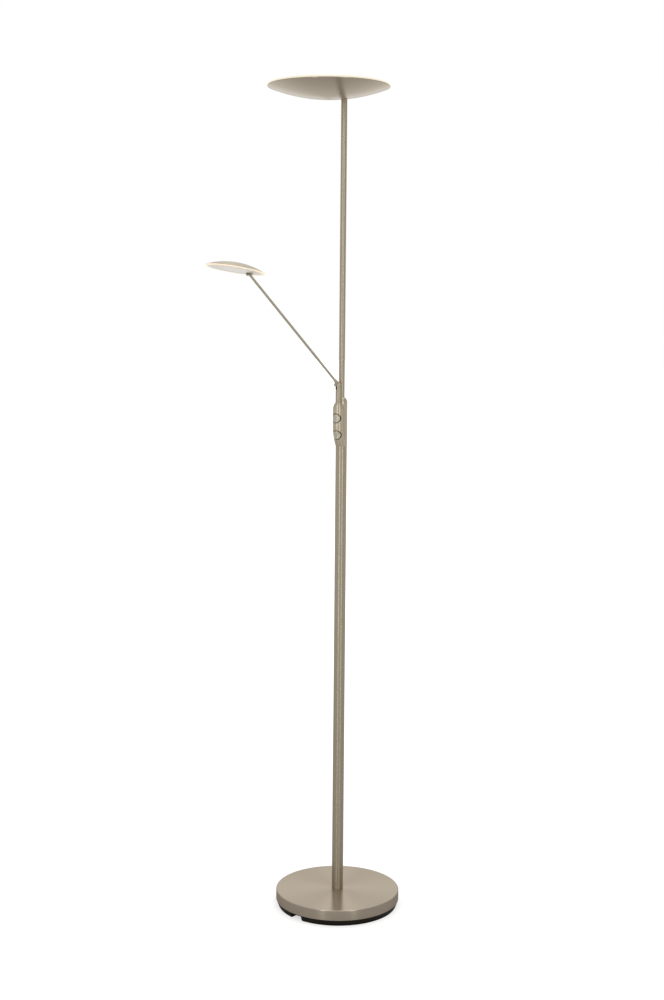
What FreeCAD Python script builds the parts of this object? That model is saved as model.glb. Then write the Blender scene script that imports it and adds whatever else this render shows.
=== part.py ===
import FreeCAD, Part
import math
import os
import re

import Sketcher
from FreeCAD import Vector

# Torchiere floor lamp: a round weighted base, a straight pole with a twin-barrel dimmer housing,
# an uplighter dish at the top, and a reading head on a thin arm that swivels, pitches and tilts.
# Millimetres and degrees. Origin: centre of the base on the floor. +Z up, the buttons face -Y.

DOCUMENT = FreeCAD.newDocument("FloorLamp")
SHEET = DOCUMENT.addObject("Spreadsheet::Sheet", "Sizes")

SIZES = [
    ("overall_height", 1800, "floor to the top of the uplighter's diffuser"),
    # base
    ("base_radius", 138, "outside of the pressed pan"),
    ("base_height", 36.2, "floor to the pan's top face"),
    ("base_wall", 1.5, "sheet thickness of the pan"),
    ("base_edge", 2, "outer radius of the pan's pressed edge"),
    ("foot_inset", 5.2, "pan's outside to the skirt's lower edge"),
    ("foot_knee", 0.9, "flange's outside to the skirt at half its height"),
    ("foot_height", 13.3, "floor to the pan's lower edge"),
    ("foot_wall", 4, "thickness of the skirt"),
    ("foot_plate", 3, "thickness of the tray's plate"),
    ("foot_well_radius", 22, "inside of the nut well"),
    ("rib_thickness", 2.4, "thickness of ribs and channel walls"),
    ("rib_count", 5, "plain radial ribs"),
    ("rib_floor_gap", 4, "floor to the lower edge of the ribs"),
    ("channel_width", 30, "cable channel and notch"),
    ("channel_height", 11, "floor to the roof of the notch"),
    ("channel_turn", 12.3, "channel from the front towards the left"),
    ("strip_height", 1, "soft strip under the skirt"),
    ("strip_margin", 0.6, "skirt edge to strip"),
    ("weight_thickness", 14.5, "cast disc"),
    ("weight_gap", 1, "pan wall to cast disc"),
    ("weight_chamfer", 3, "lower edge of the cast disc"),
    ("foot_screw_circle", 92, "radius of the tray screws"),
    ("foot_screw_radius", 2, "shank"),
    ("foot_screw_length", 9, "from the plate's underside"),
    ("foot_screw_head", 4.2, "head radius"),
    ("foot_screw_head_height", 2.4, "head"),
    ("nipple_radius", 5, "threaded tube in the base"),
    ("nipple_bore", 3.4, "its bore radius"),
    ("base_nut_width", 17, "across flats"),
    ("base_nut_height", 8, "nut"),
    ("base_washer_radius", 14, "washer"),
    ("base_washer_height", 1.6, "washer"),
    ("nipple_end", 2, "thread beyond each nut"),
    ("plug_height", 18, "tapped plug in the lower pole"),
    # poles
    ("pole_radius", 12.5, "lower pole"),
    ("pole_wall", 1.5, "lower pole"),
    ("housing_level", 1037, "top end of the lower pole"),
    ("upper_radius", 6.5, "upper pole"),
    ("upper_wall", 1, "upper pole"),
    ("socket_depth", 25, "upper pole in the housing"),
    # dimmer housing
    ("housing_radius", 12.9, "rear barrel"),
    ("housing_height", 106, "rear barrel above the lower pole"),
    ("housing_shoulder", 12, "height of the rear barrel's shoulder"),
    ("housing_lip", 0.7, "shoulder's edge beyond the upper pole"),
    ("housing_wall", 1.9, "die-cast wall of the rear barrel"),
    ("spigot_depth", 25, "housing in the lower pole"),
    ("spigot_wall", 2.4, "spigot"),
    ("rear_cavity_height", 69, "rear cavity above the lower pole"),
    ("passage_radius", 3.4, "wire passage under the upper pole"),
    ("passage_run", 4, "height of the cone into the passage"),
    ("lobe_radius", 12, "front barrel"),
    ("lobe_wall", 1.6, "die-cast wall of the front barrel"),
    ("lobe_top", 95, "front barrel above the lower pole"),
    ("lobe_shoulder", 15, "height of the front barrel's shoulder"),
    ("lobe_lip", 0.6, "front shoulder's edge beyond the post"),
    ("lobe_bend_height", 48, "where the front barrel starts to bend back"),
    ("lobe_bend_radius", 90, "bend of the front barrel's axis"),
    ("lobe_cavity_height", 78.5, "front cavity above the lower pole"),
    ("grub_radius", 2, "screw that locks the spigot"),
    ("grub_drop", 12, "below the top of the lower pole"),
    ("grub_length", 3.6, "grub screw"),
    # buttons
    ("upper_button_height", 61.5, "axis above the lower pole"),
    ("lower_button_height", 27.5, "axis above the lower pole"),
    ("button_radius", 9.3, "cap"),
    ("button_gap", 1.4, "cap to hole"),
    ("button_stand", 0.6, "cap beyond the barrel"),
    ("button_seat", 2.4, "barrel axis to the bottom of the hole"),
    ("button_back", 4.6, "barrel axis to the back of the cap"),
    ("stem_radius", 3, "stem behind the cap"),
    ("stem_end", -0.4, "barrel axis to the stem's end"),
    ("board_front", 8, "pole axis to the board's front"),
    ("board_thickness", 1.6, "board"),
    ("board_half_width", 6.5, "board"),
    ("board_foot", 13, "board's lower end above the lower pole"),
    ("board_height", 55, "board"),
    ("board_screw_inset", 3.5, "board's end to its screws"),
    ("board_screw_radius", 1.2, "shank"),
    ("tongue_thickness", 2.6, "cast tongue behind the board"),
    ("tongue_half_width", 5, "cast tongue behind the board"),
    ("can_half_width", 4.4, "switch can"),
    ("can_front", 1.6, "barrel axis to the can's front"),
    ("can_bore_depth", 3.6, "bore for the stem"),
    # reading post
    ("post_offset", 14, "pole axis to post axis"),
    ("post_radius", 6.5, "post"),
    ("post_bore", 2.2, "wire bore"),
    ("shank_radius", 4, "turned end in the housing's boss"),
    ("seat_height", 90, "post seat above the lower pole"),
    ("post_washer_height", 0.6, "friction washer"),
    ("spring_washer_height", 0.8, "spring washer"),
    ("post_nut_width", 13, "across flats"),
    ("post_nut_height", 4, "nut"),
    ("shank_end", 0.8, "thread beyond the nut"),
    ("pivot_height", 133.5, "fork pin above the lower pole"),
    ("slot_width", 5.8, "fork slot"),
    ("slot_drop", 10, "fork pin to the slot's floor"),
    ("pivot_radius", 2, "fork pin"),
    ("pivot_head_radius", 2.9, "head of the fork pin"),
    ("pivot_head_height", 1.4, "head of the fork pin"),
    ("pivot_head_seat", 5.2, "post axis to the head's seat"),
    ("pivot_nut_width", 5.6, "across flats"),
    ("pivot_nut_height", 1.9, "nut"),
    ("pivot_nut_seat", 4.4, "post axis to the nut's seat"),
    ("pin_recess_gap", 0.4, "recess beyond the head and the nut"),
    # arm
    ("arm_heading", 30, "arm from the front towards the left"),
    ("arm_elevation", 47, "arm above the horizontal"),
    ("arm_length", 317.5, "fork pin to head pin"),
    ("arm_radius", 2.5, "tube"),
    ("arm_bore", 1.7, "tube"),
    ("eye_radius", 6.3, "eye in the fork"),
    ("eye_thickness", 4.4, "eye in the fork"),
    ("eye_flat_end", 10.5, "end of the milled flats"),
    ("eye_neck_radius", 4.8, "where the taper leaves the eye"),
    ("eye_end", 16.5, "start of the arm tube"),
    ("heel_radius", 3.9, "stop lug of the eye"),
    ("heel_offset", 6.6, "fork pin to the stop lug, level at rest"),
    ("spigot_length", 12, "inside each end of the arm tube"),
    ("pivot_washer_radius", 5.5, "friction washers"),
    ("pivot_washer_height", 0.4, "friction washers"),
    ("crossbar_radius", 2, "head pin"),
    ("crossbar_boss_radius", 2.8, "middle of the head pin"),
    ("crossbar_boss_half", 3.2, "middle of the head pin"),
    ("crossbar_head_radius", 2.5, "peened ends of the head pin"),
    ("crossbar_head_height", 0.9, "peened ends of the head pin"),
    # reading head
    ("head_radius", 62.5, "outside"),
    ("head_depth", 13.5, "metal dome"),
    ("head_wall", 1, "metal dome"),
    ("head_tilt", 9.5, "outer side raised"),
    ("head_offset", 34, "head pin to the head's centre"),
    ("head_face_gap", 0.4, "head pin to the diffuser"),
    ("head_edge", 2.2, "glowing edge of the diffuser"),
    ("head_edge_radius", 1.2, "rounding of that edge"),
    ("head_plate", 1.6, "diffuser"),
    ("head_ring_height", 2, "locating ring of the diffuser"),
    ("head_ring_wall", 1.6, "locating ring of the diffuser"),
    ("head_spreader_radius", 50, "heat spreader"),
    ("head_spreader_height", 1.5, "heat spreader"),
    ("head_board_radius", 27, "circuit board"),
    ("head_board_height", 1.2, "circuit board"),
    ("head_led_circle", 20, "ring of diodes"),
    ("head_screw_circle", 10, "board screws"),
    ("saddle_length", 19.5, "saddle plate along the head pin"),
    ("saddle_width", 8, "saddle plate"),
    ("saddle_plate", 1.5, "saddle plate"),
    ("lug_thickness", 3.2, "hinge lugs"),
    ("lug_radius", 2.9, "hinge lugs"),
    ("saddle_screw_offset", 3.3, "saddle screws from the middle"),
    ("saddle_slot_gap", 0.8, "diffuser's slot round the saddle"),
    # uplighter dish
    ("dish_radius", 128.5, "outside"),
    ("dish_depth", 25, "metal dish"),
    ("dish_wall", 1.2, "metal dish"),
    ("dish_lip", 1.2, "upright lip of the dish"),
    ("dish_offset", 65.8, "pole axis to the dish's centre"),
    ("diffuser_stand", 5.5, "diffuser above the lip"),
    ("diffuser_crown", 1.5, "rise of the diffuser's middle"),
    ("diffuser_edge", 2.4, "rounding of the diffuser's edge"),
    ("diffuser_plate", 2.2, "diffuser"),
    ("top_plug_height", 16, "tapped plug in the upper pole"),
    ("top_nipple_radius", 4, "threaded tube in the dish"),
    ("top_nipple_bore", 2.6, "its bore radius"),
    ("dish_nut_width", 13, "across flats"),
    ("dish_nut_height", 5, "nut"),
    ("dish_washer_radius", 8, "wedge washer"),
    ("dish_washer_height", 1.2, "wedge washer at its thin side"),
    ("spreader_radius", 52, "heat spreader"),
    ("spreader_height", 2.5, "heat spreader"),
    ("pedestal_radius", 14, "foot of the heat spreader"),
    ("uplight_board_radius", 48, "circuit board"),
    ("uplight_board_height", 1.6, "circuit board"),
    ("uplight_outer_circle", 40, "outer ring of diodes"),
    ("uplight_inner_circle", 22, "inner ring of diodes"),
    ("uplight_screw_circle", 31, "board screws"),
    # small parts and clearances
    ("led_size", 3, "diode package"),
    ("led_height", 0.8, "diode package"),
    ("small_screw_radius", 1.4, "shank"),
    ("small_head_radius", 2.6, "head"),
    ("small_head_height", 1.4, "head"),
    ("fit_gap", 0.1, "fixed parts that slide together"),
    ("running_gap", 0.06, "shafts that turn or slide"),
    ("free_gap", 0.3, "faces that pass each other"),
]

SHEET.set("A1", "name")
SHEET.set("B1", "value")
SHEET.set("C1", "meaning")
for row, (alias, value, meaning) in enumerate(SIZES, start=2):
    SHEET.set(f"A{row}", alias)
    SHEET.set(f"B{row}", str(value))
    SHEET.set(f"C{row}", meaning)
    SHEET.setAlias(f"B{row}", alias)
DOCUMENT.recompute()

ALIASES = {alias for alias, value, meaning in SIZES}
LED_COUNT_OUTER = 18
LED_COUNT_INNER = 9
LED_COUNT_HEAD = 12
SCREW_COUNT = 3


# ---------------------------------------------------------------- expressions

def bound(text):
    """Expression text with each size name pointed at its cell."""
    return re.sub(r"[a-z_]+", lambda word: "Sizes." + word[0] if word[0] in ALIASES else word[0], str(text))


def number(text):
    """Value of an expression over the sizes."""
    return float(SHEET.evalExpression(bound(text)))


def bind(item, **properties):
    for name, text in properties.items():
        item.setExpression(name, bound(text))
    return item


def place(item, x=0, y=0, z=0, yaw=0, pitch=0, roll=0):
    """Put an object at x, y, z, turned by yaw, pitch and roll."""
    bind(item, Placement=f"placement(vector({x}; {y}; {z}); rotation({yaw}; {pitch}; {roll}))")
    return item


# ---------------------------------------------------------------- building blocks

def named(kind, name):
    item = DOCUMENT.addObject(kind, name)
    item.Label = name
    return item


def body(name):
    return named("PartDesign::Body", name)


def origin_part(owner, role):
    return next(item for item in owner.Origin.OriginFeatures if item.Role == role)


def sketch_on(owner, name, role, x=0, y=0, z=0, axis="vector(0; 0; 1)", turn=0):
    """Empty sketch on an origin plane, moved in that plane's own axes."""
    sketch = owner.newObject("Sketcher::SketchObject", name)
    sketch.AttachmentSupport = [(origin_part(owner, role), "")]
    sketch.MapMode = "FlatFace"
    bind(sketch, AttachmentOffset=f"placement(vector({x}; {y}; {z}); rotation({axis}; {turn}))")
    return sketch


def arc_edge(start, end, radius, side):
    """Arc from start to end with its centre on the left (side 1) or right (side -1) of travel."""
    chord = end - start
    across = Vector(-chord.y, chord.x, 0) / chord.Length
    centre = (start + end) / 2 + across * side * math.sqrt(max(radius ** 2 - chord.Length ** 2 / 4, 0))
    first, last = (start, end) if side > 0 else (end, start)
    angles = [math.atan2(point.y - centre.y, point.x - centre.x) for point in (first, last)]
    return Part.ArcOfCircle(Part.Circle(centre, Vector(0, 0, 1), radius), angles[0], angles[1])


def outline(sketch, corners, closed=True):
    """Closed outline, or open path, through corners (x, y) or (x, y, arc radius, side)."""
    first_edge = sketch.GeometryCount
    points = [Vector(number(corner[0]), number(corner[1]), 0) for corner in corners]
    count = len(corners) if closed else len(corners) - 1
    joints = []
    for step in range(count):
        start = points[step]
        end = points[(step + 1) % len(points)]
        corner = corners[step]
        if len(corner) > 2:
            edge = sketch.addGeometry(arc_edge(start, end, number(corner[2]), corner[3]), False)
            joints.append((edge, 1, 2) if corner[3] > 0 else (edge, 2, 1))
        else:
            edge = sketch.addGeometry(Part.LineSegment(start, end), False)
            joints.append((edge, 1, 2))
    for step in range(count):
        edge, head, tail = joints[step]
        if closed or step + 1 < count:
            following = joints[(step + 1) % count]
            sketch.addConstraint(Sketcher.Constraint("Coincident", edge, tail, following[0], following[1]))
        pin_end(sketch, edge, head, corners[step])
        if len(corners[step]) > 2:
            radius = corners[step][2]
            index = sketch.addConstraint(Sketcher.Constraint("Radius", edge, number(radius)))
            sketch.setExpression(f"Constraints[{index}]", bound(radius))
    if not closed:
        edge, head, tail = joints[-1]
        pin_end(sketch, edge, tail, corners[-1])
    return first_edge


def pin_end(sketch, edge, end, corner):
    """Hold one end of an edge at a corner's coordinates."""
    for kind, axis, text in (("DistanceX", -2, corner[0]), ("DistanceY", -1, corner[1])):
        if str(text) == "0":
            sketch.addConstraint(Sketcher.Constraint("PointOnObject", edge, end, axis))
        else:
            index = sketch.addConstraint(Sketcher.Constraint(kind, -1, 1, edge, end, number(text)))
            sketch.setExpression(f"Constraints[{index}]", bound(text))


def circle_in(sketch, x, y, radius):
    """Circle with its centre at x, y."""
    centre = Vector(number(x), number(y), 0)
    edge = sketch.addGeometry(Part.Circle(centre, Vector(0, 0, 1), number(radius)), False)
    index = sketch.addConstraint(Sketcher.Constraint("Radius", edge, number(radius)))
    sketch.setExpression(f"Constraints[{index}]", bound(radius))
    pin_end(sketch, edge, 3, (x, y))


def vertical_axis(sketch, x):
    """Construction line along the sketch's Y at x, as an axis of revolution."""
    start = Vector(number(x), 0, 0)
    edge = sketch.addGeometry(Part.LineSegment(start, start + Vector(0, 10, 0)), True)
    sketch.addConstraint(Sketcher.Constraint("Vertical", edge))
    sketch.addConstraint(Sketcher.Constraint("PointOnObject", edge, 1, -1))
    index = sketch.addConstraint(Sketcher.Constraint("DistanceX", -1, 1, edge, 1, number(x)))
    sketch.setExpression(f"Constraints[{index}]", bound(x))
    sketch.addConstraint(Sketcher.Constraint("DistanceY", edge, 1, edge, 2, 10))


def spin(owner, sketch, name, cutting=False, axis="V_Axis", angle=360):
    """Revolution, or groove, of a sketch about an axis in it."""
    kind = "PartDesign::Groove" if cutting else "PartDesign::Revolution"
    feature = owner.newObject(kind, name)
    feature.Profile = sketch
    feature.ReferenceAxis = (sketch, [axis])
    bind(feature, Angle=angle)
    owner.Tip = feature
    return feature


def extrude(owner, sketch, name, length, cutting=False, reverse=False):
    """Pad, or pocket, of a sketch."""
    feature = owner.newObject("PartDesign::Pocket" if cutting else "PartDesign::Pad", name)
    feature.Profile = sketch
    feature.Reversed = reverse
    bind(feature, Length=length)
    owner.Tip = feature
    return feature


def turned(name, corners, angle=360):
    """Body of revolution about Z from its half section (radius, height)."""
    part = body(name)
    sketch = sketch_on(part, name + "_section", "XZ_Plane")
    outline(sketch, corners)
    spin(part, sketch, name + "_turning", angle=angle)
    return part


def ring_section(inner, outer, bottom, top):
    return [(inner, bottom), (outer, bottom), (outer, top), (inner, top)]


def round_bar(name, radius, length, x=0, y=0, z=0, yaw=0, pitch=0, roll=0):
    """Plain cylinder along its own Z, placed and turned."""
    bar = bind(named("Part::Cylinder", name), Radius=radius, Height=length)
    return place(bar, x, y, z, yaw, pitch, roll)


def block(name, size, x=0, y=0, z=0, yaw=0, pitch=0, roll=0):
    """Plain box from its lowest corner, placed and turned."""
    item = bind(named("Part::Box", name), Length=size[0], Width=size[1], Height=size[2])
    return place(item, x, y, z, yaw, pitch, roll)


def hexagon(name, width, height, x=0, y=0, z=0, yaw=0, pitch=0, roll=0):
    """Hexagonal bar measured across its flats."""
    item = bind(named("Part::Prism", name), Circumradius=f"{width} / 2 / cos(30)", Height=height)
    item.Polygon = 6
    return place(item, x, y, z, yaw, pitch, roll)


def fused(name, parts):
    item = named("Part::MultiFuse", name)
    item.Shapes = parts
    return item


def cut_from(name, base, tools):
    item = named("Part::Cut", name)
    item.Base = base
    item.Tool = tools[0] if len(tools) == 1 else fused(name + "_tools", tools)
    return item


def shared(name, parts):
    item = named("Part::MultiCommon", name)
    item.Shapes = parts
    return item


def group(name, parts):
    """Several separate solids under one name."""
    item = named("Part::Compound", name)
    item.Links = parts
    return item


def nut(name, width, height, bore, z):
    """Hexagon nut on the Z axis."""
    blank = hexagon(name + "_blank", width, height, z=z)
    hole = round_bar(name + "_hole", bore, f"{height} + 2", z=f"{z} - 1")
    return cut_from(name, blank, [hole])


def around(count, circle, start=0):
    """Angles and x, y expressions of evenly spaced places on a circle."""
    for step in range(round(count)):
        angle = start + 360 / round(count) * step
        yield angle, f"({circle}) * cos({angle})", f"({circle}) * sin({angle})"


def screw(name, shank, length, head, head_height, x, y, z, up=True):
    """Pan screw whose head seats at height z; the shank runs up or down from there."""
    low_shank = z if up else f"{z} - ({length})"
    section = body(name + "_head")
    sketch = sketch_on(section, name + "_section", "XZ_Plane")
    crown = f"{head_height} * 0.45"
    bend = f"(({head})^2 + ({crown})^2) / (2 * {crown})"
    outline(sketch, [(0, 0), (head, 0), (head, f"{head_height} - {crown}", bend, 1), (0, head_height)])
    spin(section, sketch, name + "_head_turning")
    place(section, x, y, z, roll=180 if up else 0)
    shank_bar = round_bar(name + "_shank", shank, length, x, y, low_shank)
    return fused(name, [section, shank_bar])


# ---------------------------------------------------------------- shared levels and places

WEIGHT_TOP = "(base_height - base_wall)"
WEIGHT_BOTTOM = f"({WEIGHT_TOP} - weight_thickness)"
PLATE_BOTTOM = f"({WEIGHT_BOTTOM} - foot_plate)"
WASHER_BOTTOM = f"({WEIGHT_BOTTOM} - base_washer_height)"
BASE_NUT_BOTTOM = f"({WASHER_BOTTOM} - base_nut_height)"
NIPPLE_BOTTOM = f"({BASE_NUT_BOTTOM} - nipple_end)"
CHANNEL_YAW = "(270 - channel_turn)"
FOOT_RADIUS = "(base_radius - foot_inset)"
FLANGE_RADIUS = "(base_radius - base_wall - free_gap)"
POLE_BORE = "(pole_radius - pole_wall)"
UPPER_BORE = "(upper_radius - upper_wall)"

HOUSING_TOP = "(housing_level + housing_height)"
SOCKET_BOTTOM = f"({HOUSING_TOP} - socket_depth)"
LOBE_TOP = "(housing_level + lobe_top)"
LOBE_SHOULDER = f"({LOBE_TOP} - lobe_shoulder)"
BEND_LEVEL = "(housing_level + lobe_bend_height)"
CAVITY_TOP = "(housing_level + lobe_cavity_height)"
SEAT = "(housing_level + seat_height)"
PIVOT = "(housing_level + pivot_height)"
POST_YAW = "(270 - arm_heading)"

AHEAD_X = "(-sin(arm_heading))"
AHEAD_Y = "(-cos(arm_heading))"
TIP_X = f"(arm_length * cos(arm_elevation) * {AHEAD_X})"
TIP_Y = f"(arm_length * cos(arm_elevation) * {AHEAD_Y} - post_offset)"
TIP_Z = f"({PIVOT} + arm_length * sin(arm_elevation))"
HEAD_X = f"({TIP_X} + head_offset * cos(head_tilt) * {AHEAD_X})"
HEAD_Y = f"({TIP_Y} + head_offset * cos(head_tilt) * {AHEAD_Y})"
HEAD_Z = f"({TIP_Z} + head_offset * sin(head_tilt))"

RIM = "(overall_height - diffuser_stand)"
DISH_FLOOR = f"({RIM} - dish_depth)"
BOWL_RISE = "(dish_depth - dish_lip)"
BOWL_BEND = f"((dish_radius^2 + {BOWL_RISE}^2) / (2 * {BOWL_RISE}))"
BOWL_CENTRE = f"({DISH_FLOOR} + {BOWL_BEND})"
INNER_BEND = f"({BOWL_BEND} - dish_wall)"


def bowl_level(bend, radius):
    """Height of a sphere about the bowl's centre at some radius from the dish's axis."""
    return f"({BOWL_CENTRE} - sqrt(({bend})^2 - ({radius})^2))"


def barrel_slope(height):
    """Backward slope of the front barrel's axis at a height above the lower pole."""
    return f"(asin(max(0; lobe_bend_height - {height}) / lobe_bend_radius) / 1 deg)"


def barrel_offset(height):
    """Pole axis to the front barrel's axis at a height above the lower pole."""
    return f"(post_offset - lobe_bend_radius * (1 - cos({barrel_slope(height)})))"


# ---------------------------------------------------------------- base

def make_base_cover():
    """Pressed pan, open below, with a rounded top edge and a hole for the threaded tube."""
    bore = "(nipple_radius + free_gap)"
    return turned("base_cover", [
        (bore, WEIGHT_TOP),
        ("base_radius - base_wall", WEIGHT_TOP),
        ("base_radius - base_wall", "foot_height"),
        ("base_radius", "foot_height"),
        ("base_radius", "base_height - base_edge", "base_edge", 1),
        ("base_radius - base_edge", "base_height"),
        (bore, "base_height"),
    ])


def make_base_weight():
    """Cast disc that fills the pan's top, tapped for the tray screws."""
    edge = "(base_radius - base_wall - weight_gap)"
    part = turned("base_weight", [
        ("nipple_radius + free_gap", WEIGHT_BOTTOM),
        (f"{edge} - weight_chamfer", WEIGHT_BOTTOM),
        (edge, f"{WEIGHT_BOTTOM} + weight_chamfer"),
        (edge, WEIGHT_TOP),
        ("nipple_radius + free_gap", WEIGHT_TOP),
    ])
    sketch = sketch_on(part, "weight_hole_sketch", "XY_Plane", z=WEIGHT_BOTTOM)
    circle_in(sketch, "foot_screw_circle", 0, "foot_screw_radius + fit_gap")
    hole = extrude(part, sketch, "weight_hole", "foot_screw_length", cutting=True, reverse=True)
    repeat_around(part, hole, "weight_holes", SCREW_COUNT)
    place(part, yaw=f"{CHANNEL_YAW} + 90")
    return part


def repeat_around(owner, feature, name, count, angle=360):
    """Polar pattern of one feature about the body's Z axis."""
    pattern = owner.newObject("PartDesign::PolarPattern", name)
    pattern.Originals = [feature]
    pattern.Axis = (origin_part(owner, "Z_Axis"), [""])
    bind(pattern, Angle=angle, Occurrences=count)
    owner.Tip = pattern
    return pattern


def make_base_foot():
    """Tray: plate, stepped skirt, nut well, ribs, and a walled cable channel along its own X."""
    skirt = f"({FOOT_RADIUS} - foot_wall)"
    hub = "(foot_well_radius + foot_wall)"
    part = turned("base_foot", [
        ("foot_well_radius", "strip_height"),
        (hub, "strip_height"),
        (hub, PLATE_BOTTOM),
        (skirt, PLATE_BOTTOM),
        (skirt, "strip_height"),
        (FOOT_RADIUS, "strip_height"),
        (f"{FLANGE_RADIUS} - foot_knee", "(strip_height + foot_height) / 2"),
        (FLANGE_RADIUS, "foot_height"),
        (FLANGE_RADIUS, WEIGHT_BOTTOM),
        ("foot_well_radius", WEIGHT_BOTTOM),
    ])
    rib_pitch = "360 / (rib_count + 1)"
    rib = sketch_on(part, "rib_sketch", "XY_Plane", z="rib_floor_gap", turn=f"{rib_pitch} - 90")
    outline(rib, strip_corners("rib_thickness", f"{hub} - 1", f"{skirt} + 1"))
    first = extrude(part, rib, "rib", f"{PLATE_BOTTOM} - rib_floor_gap")
    repeat_around(part, first, "ribs", "rib_count", f"{rib_pitch} * (rib_count - 1)")
    walls = sketch_on(part, "channel_wall_sketch", "XY_Plane", z="strip_height", turn=-90)
    for side in (-1, 1):
        near = f"{side} * channel_width / 2"
        far = f"{side} * (channel_width / 2 + rib_thickness)"
        left, right = (near, far) if side > 0 else (far, near)
        start = f"sqrt({hub}^2 - (channel_width / 2)^2) - 1"
        outline(walls, [(left, start), (right, start), (right, f"{skirt} + 1"), (left, f"{skirt} + 1")])
    extrude(part, walls, "channel_walls", f"{PLATE_BOTTOM} - strip_height")
    notch = sketch_on(part, "channel_sketch", "XY_Plane", turn=-90)
    outline(notch, strip_corners("channel_width", "foot_well_radius - 8", "base_radius"))
    extrude(part, notch, "channel", "channel_height", cutting=True, reverse=True)
    hole_sketch = sketch_on(part, "tray_hole_sketch", "XY_Plane", z=f"{PLATE_BOTTOM} - 1", turn=90)
    circle_in(hole_sketch, "foot_screw_circle", 0, "foot_screw_radius + fit_gap")
    hole = extrude(part, hole_sketch, "tray_hole", "foot_plate + 2", cutting=True, reverse=True)
    repeat_around(part, hole, "tray_holes", SCREW_COUNT)
    place(part, yaw=CHANNEL_YAW)
    return part


def strip_corners(width, start, end):
    """Rectangle centred on a sketch's Y axis, from start to end along it."""
    half = f"{width} / 2"
    return [(f"-({half})", start), (half, start), (half, end), (f"-({half})", end)]


def make_foot_strip():
    """Soft strip under the skirt, broken at the notch."""
    inner = f"({FOOT_RADIUS} - foot_wall + strip_margin)"
    half_gap = f"(asin((channel_width / 2 + 1) / {inner}) / 1 deg)"
    outer = f"({FOOT_RADIUS} - strip_margin)"
    part = turned("foot_strip", ring_section(inner, outer, "0", "strip_height"),
                  angle=f"360 - 2 * {half_gap}")
    place(part, yaw=f"{CHANNEL_YAW} + {half_gap}")
    return part


def make_foot_screws():
    screws = []
    for step, (angle, x, y) in enumerate(around(SCREW_COUNT, "foot_screw_circle", 90)):
        screws.append(screw(f"foot_screw_{step}", "foot_screw_radius", "foot_screw_length",
                            "foot_screw_head", "foot_screw_head_height", x, y, PLATE_BOTTOM))
    return place(group("foot_screws", screws), yaw=CHANNEL_YAW)


def make_base_fixing():
    """Threaded tube, washer and nut that clamp the base, and the tapped plug in the pole."""
    top = "(base_height + plug_height - nipple_end)"
    turned("base_nipple", ring_section("nipple_bore", "nipple_radius", NIPPLE_BOTTOM, top))
    turned("base_washer", ring_section("nipple_radius + free_gap", "base_washer_radius",
                                       WASHER_BOTTOM, WEIGHT_BOTTOM))
    nut("base_nut", "base_nut_width", "base_nut_height", "nipple_radius + fit_gap", BASE_NUT_BOTTOM)
    turned("pole_plug", ring_section("nipple_radius + fit_gap", f"{POLE_BORE} - fit_gap",
                                     "base_height", "base_height + plug_height"))


# ---------------------------------------------------------------- poles

def make_lower_pole():
    """Straight tube with a cross hole at the back for the grub screw."""
    part = turned("lower_pole", ring_section(POLE_BORE, "pole_radius", "base_height", "housing_level"))
    sketch = sketch_on(part, "grub_hole_sketch", "XZ_Plane")
    circle_in(sketch, 0, "housing_level - grub_drop", "grub_radius + fit_gap")
    extrude(part, sketch, "grub_hole", "pole_radius + 1", cutting=True)
    return part


def make_upper_pole():
    """Straight tube, its head cut to the dish's curve."""
    blank = turned("upper_pole_blank", ring_section(UPPER_BORE, "upper_radius", SOCKET_BOTTOM, RIM))
    bowl = bind(named("Part::Sphere", "upper_pole_trim"), Radius=f"{BOWL_BEND} + fit_gap")
    place(bowl, 0, "-dish_offset", BOWL_CENTRE)
    return cut_from("upper_pole", blank, [bowl])


# ---------------------------------------------------------------- dimmer housing

def barrel_path(part, name, top):
    """Axis of the front barrel: straight down, then an arc back into the rear barrel."""
    path = sketch_on(part, name, "YZ_Plane")
    foot_offset = f"(post_offset - lobe_bend_radius + sqrt(lobe_bend_radius^2 - lobe_bend_height^2))"
    outline(path, [
        ("post_offset", top),
        ("post_offset", BEND_LEVEL, "lobe_bend_radius", -1),
        (foot_offset, "housing_level"),
    ], closed=False)
    return path


def barrel_along(part, name, radius, top, cutting=False):
    """Round bar, or round cavity, along the front barrel's axis."""
    section = sketch_on(part, name + "_section", "XY_Plane", z=top)
    circle_in(section, 0, "post_offset", radius)
    kind = "PartDesign::SubtractivePipe" if cutting else "PartDesign::AdditivePipe"
    path = barrel_path(part, name + "_path", top)
    feature = part.newObject(kind, name)
    feature.Profile = section
    feature.Spine = (path, [])
    part.Tip = feature
    return feature


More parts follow.
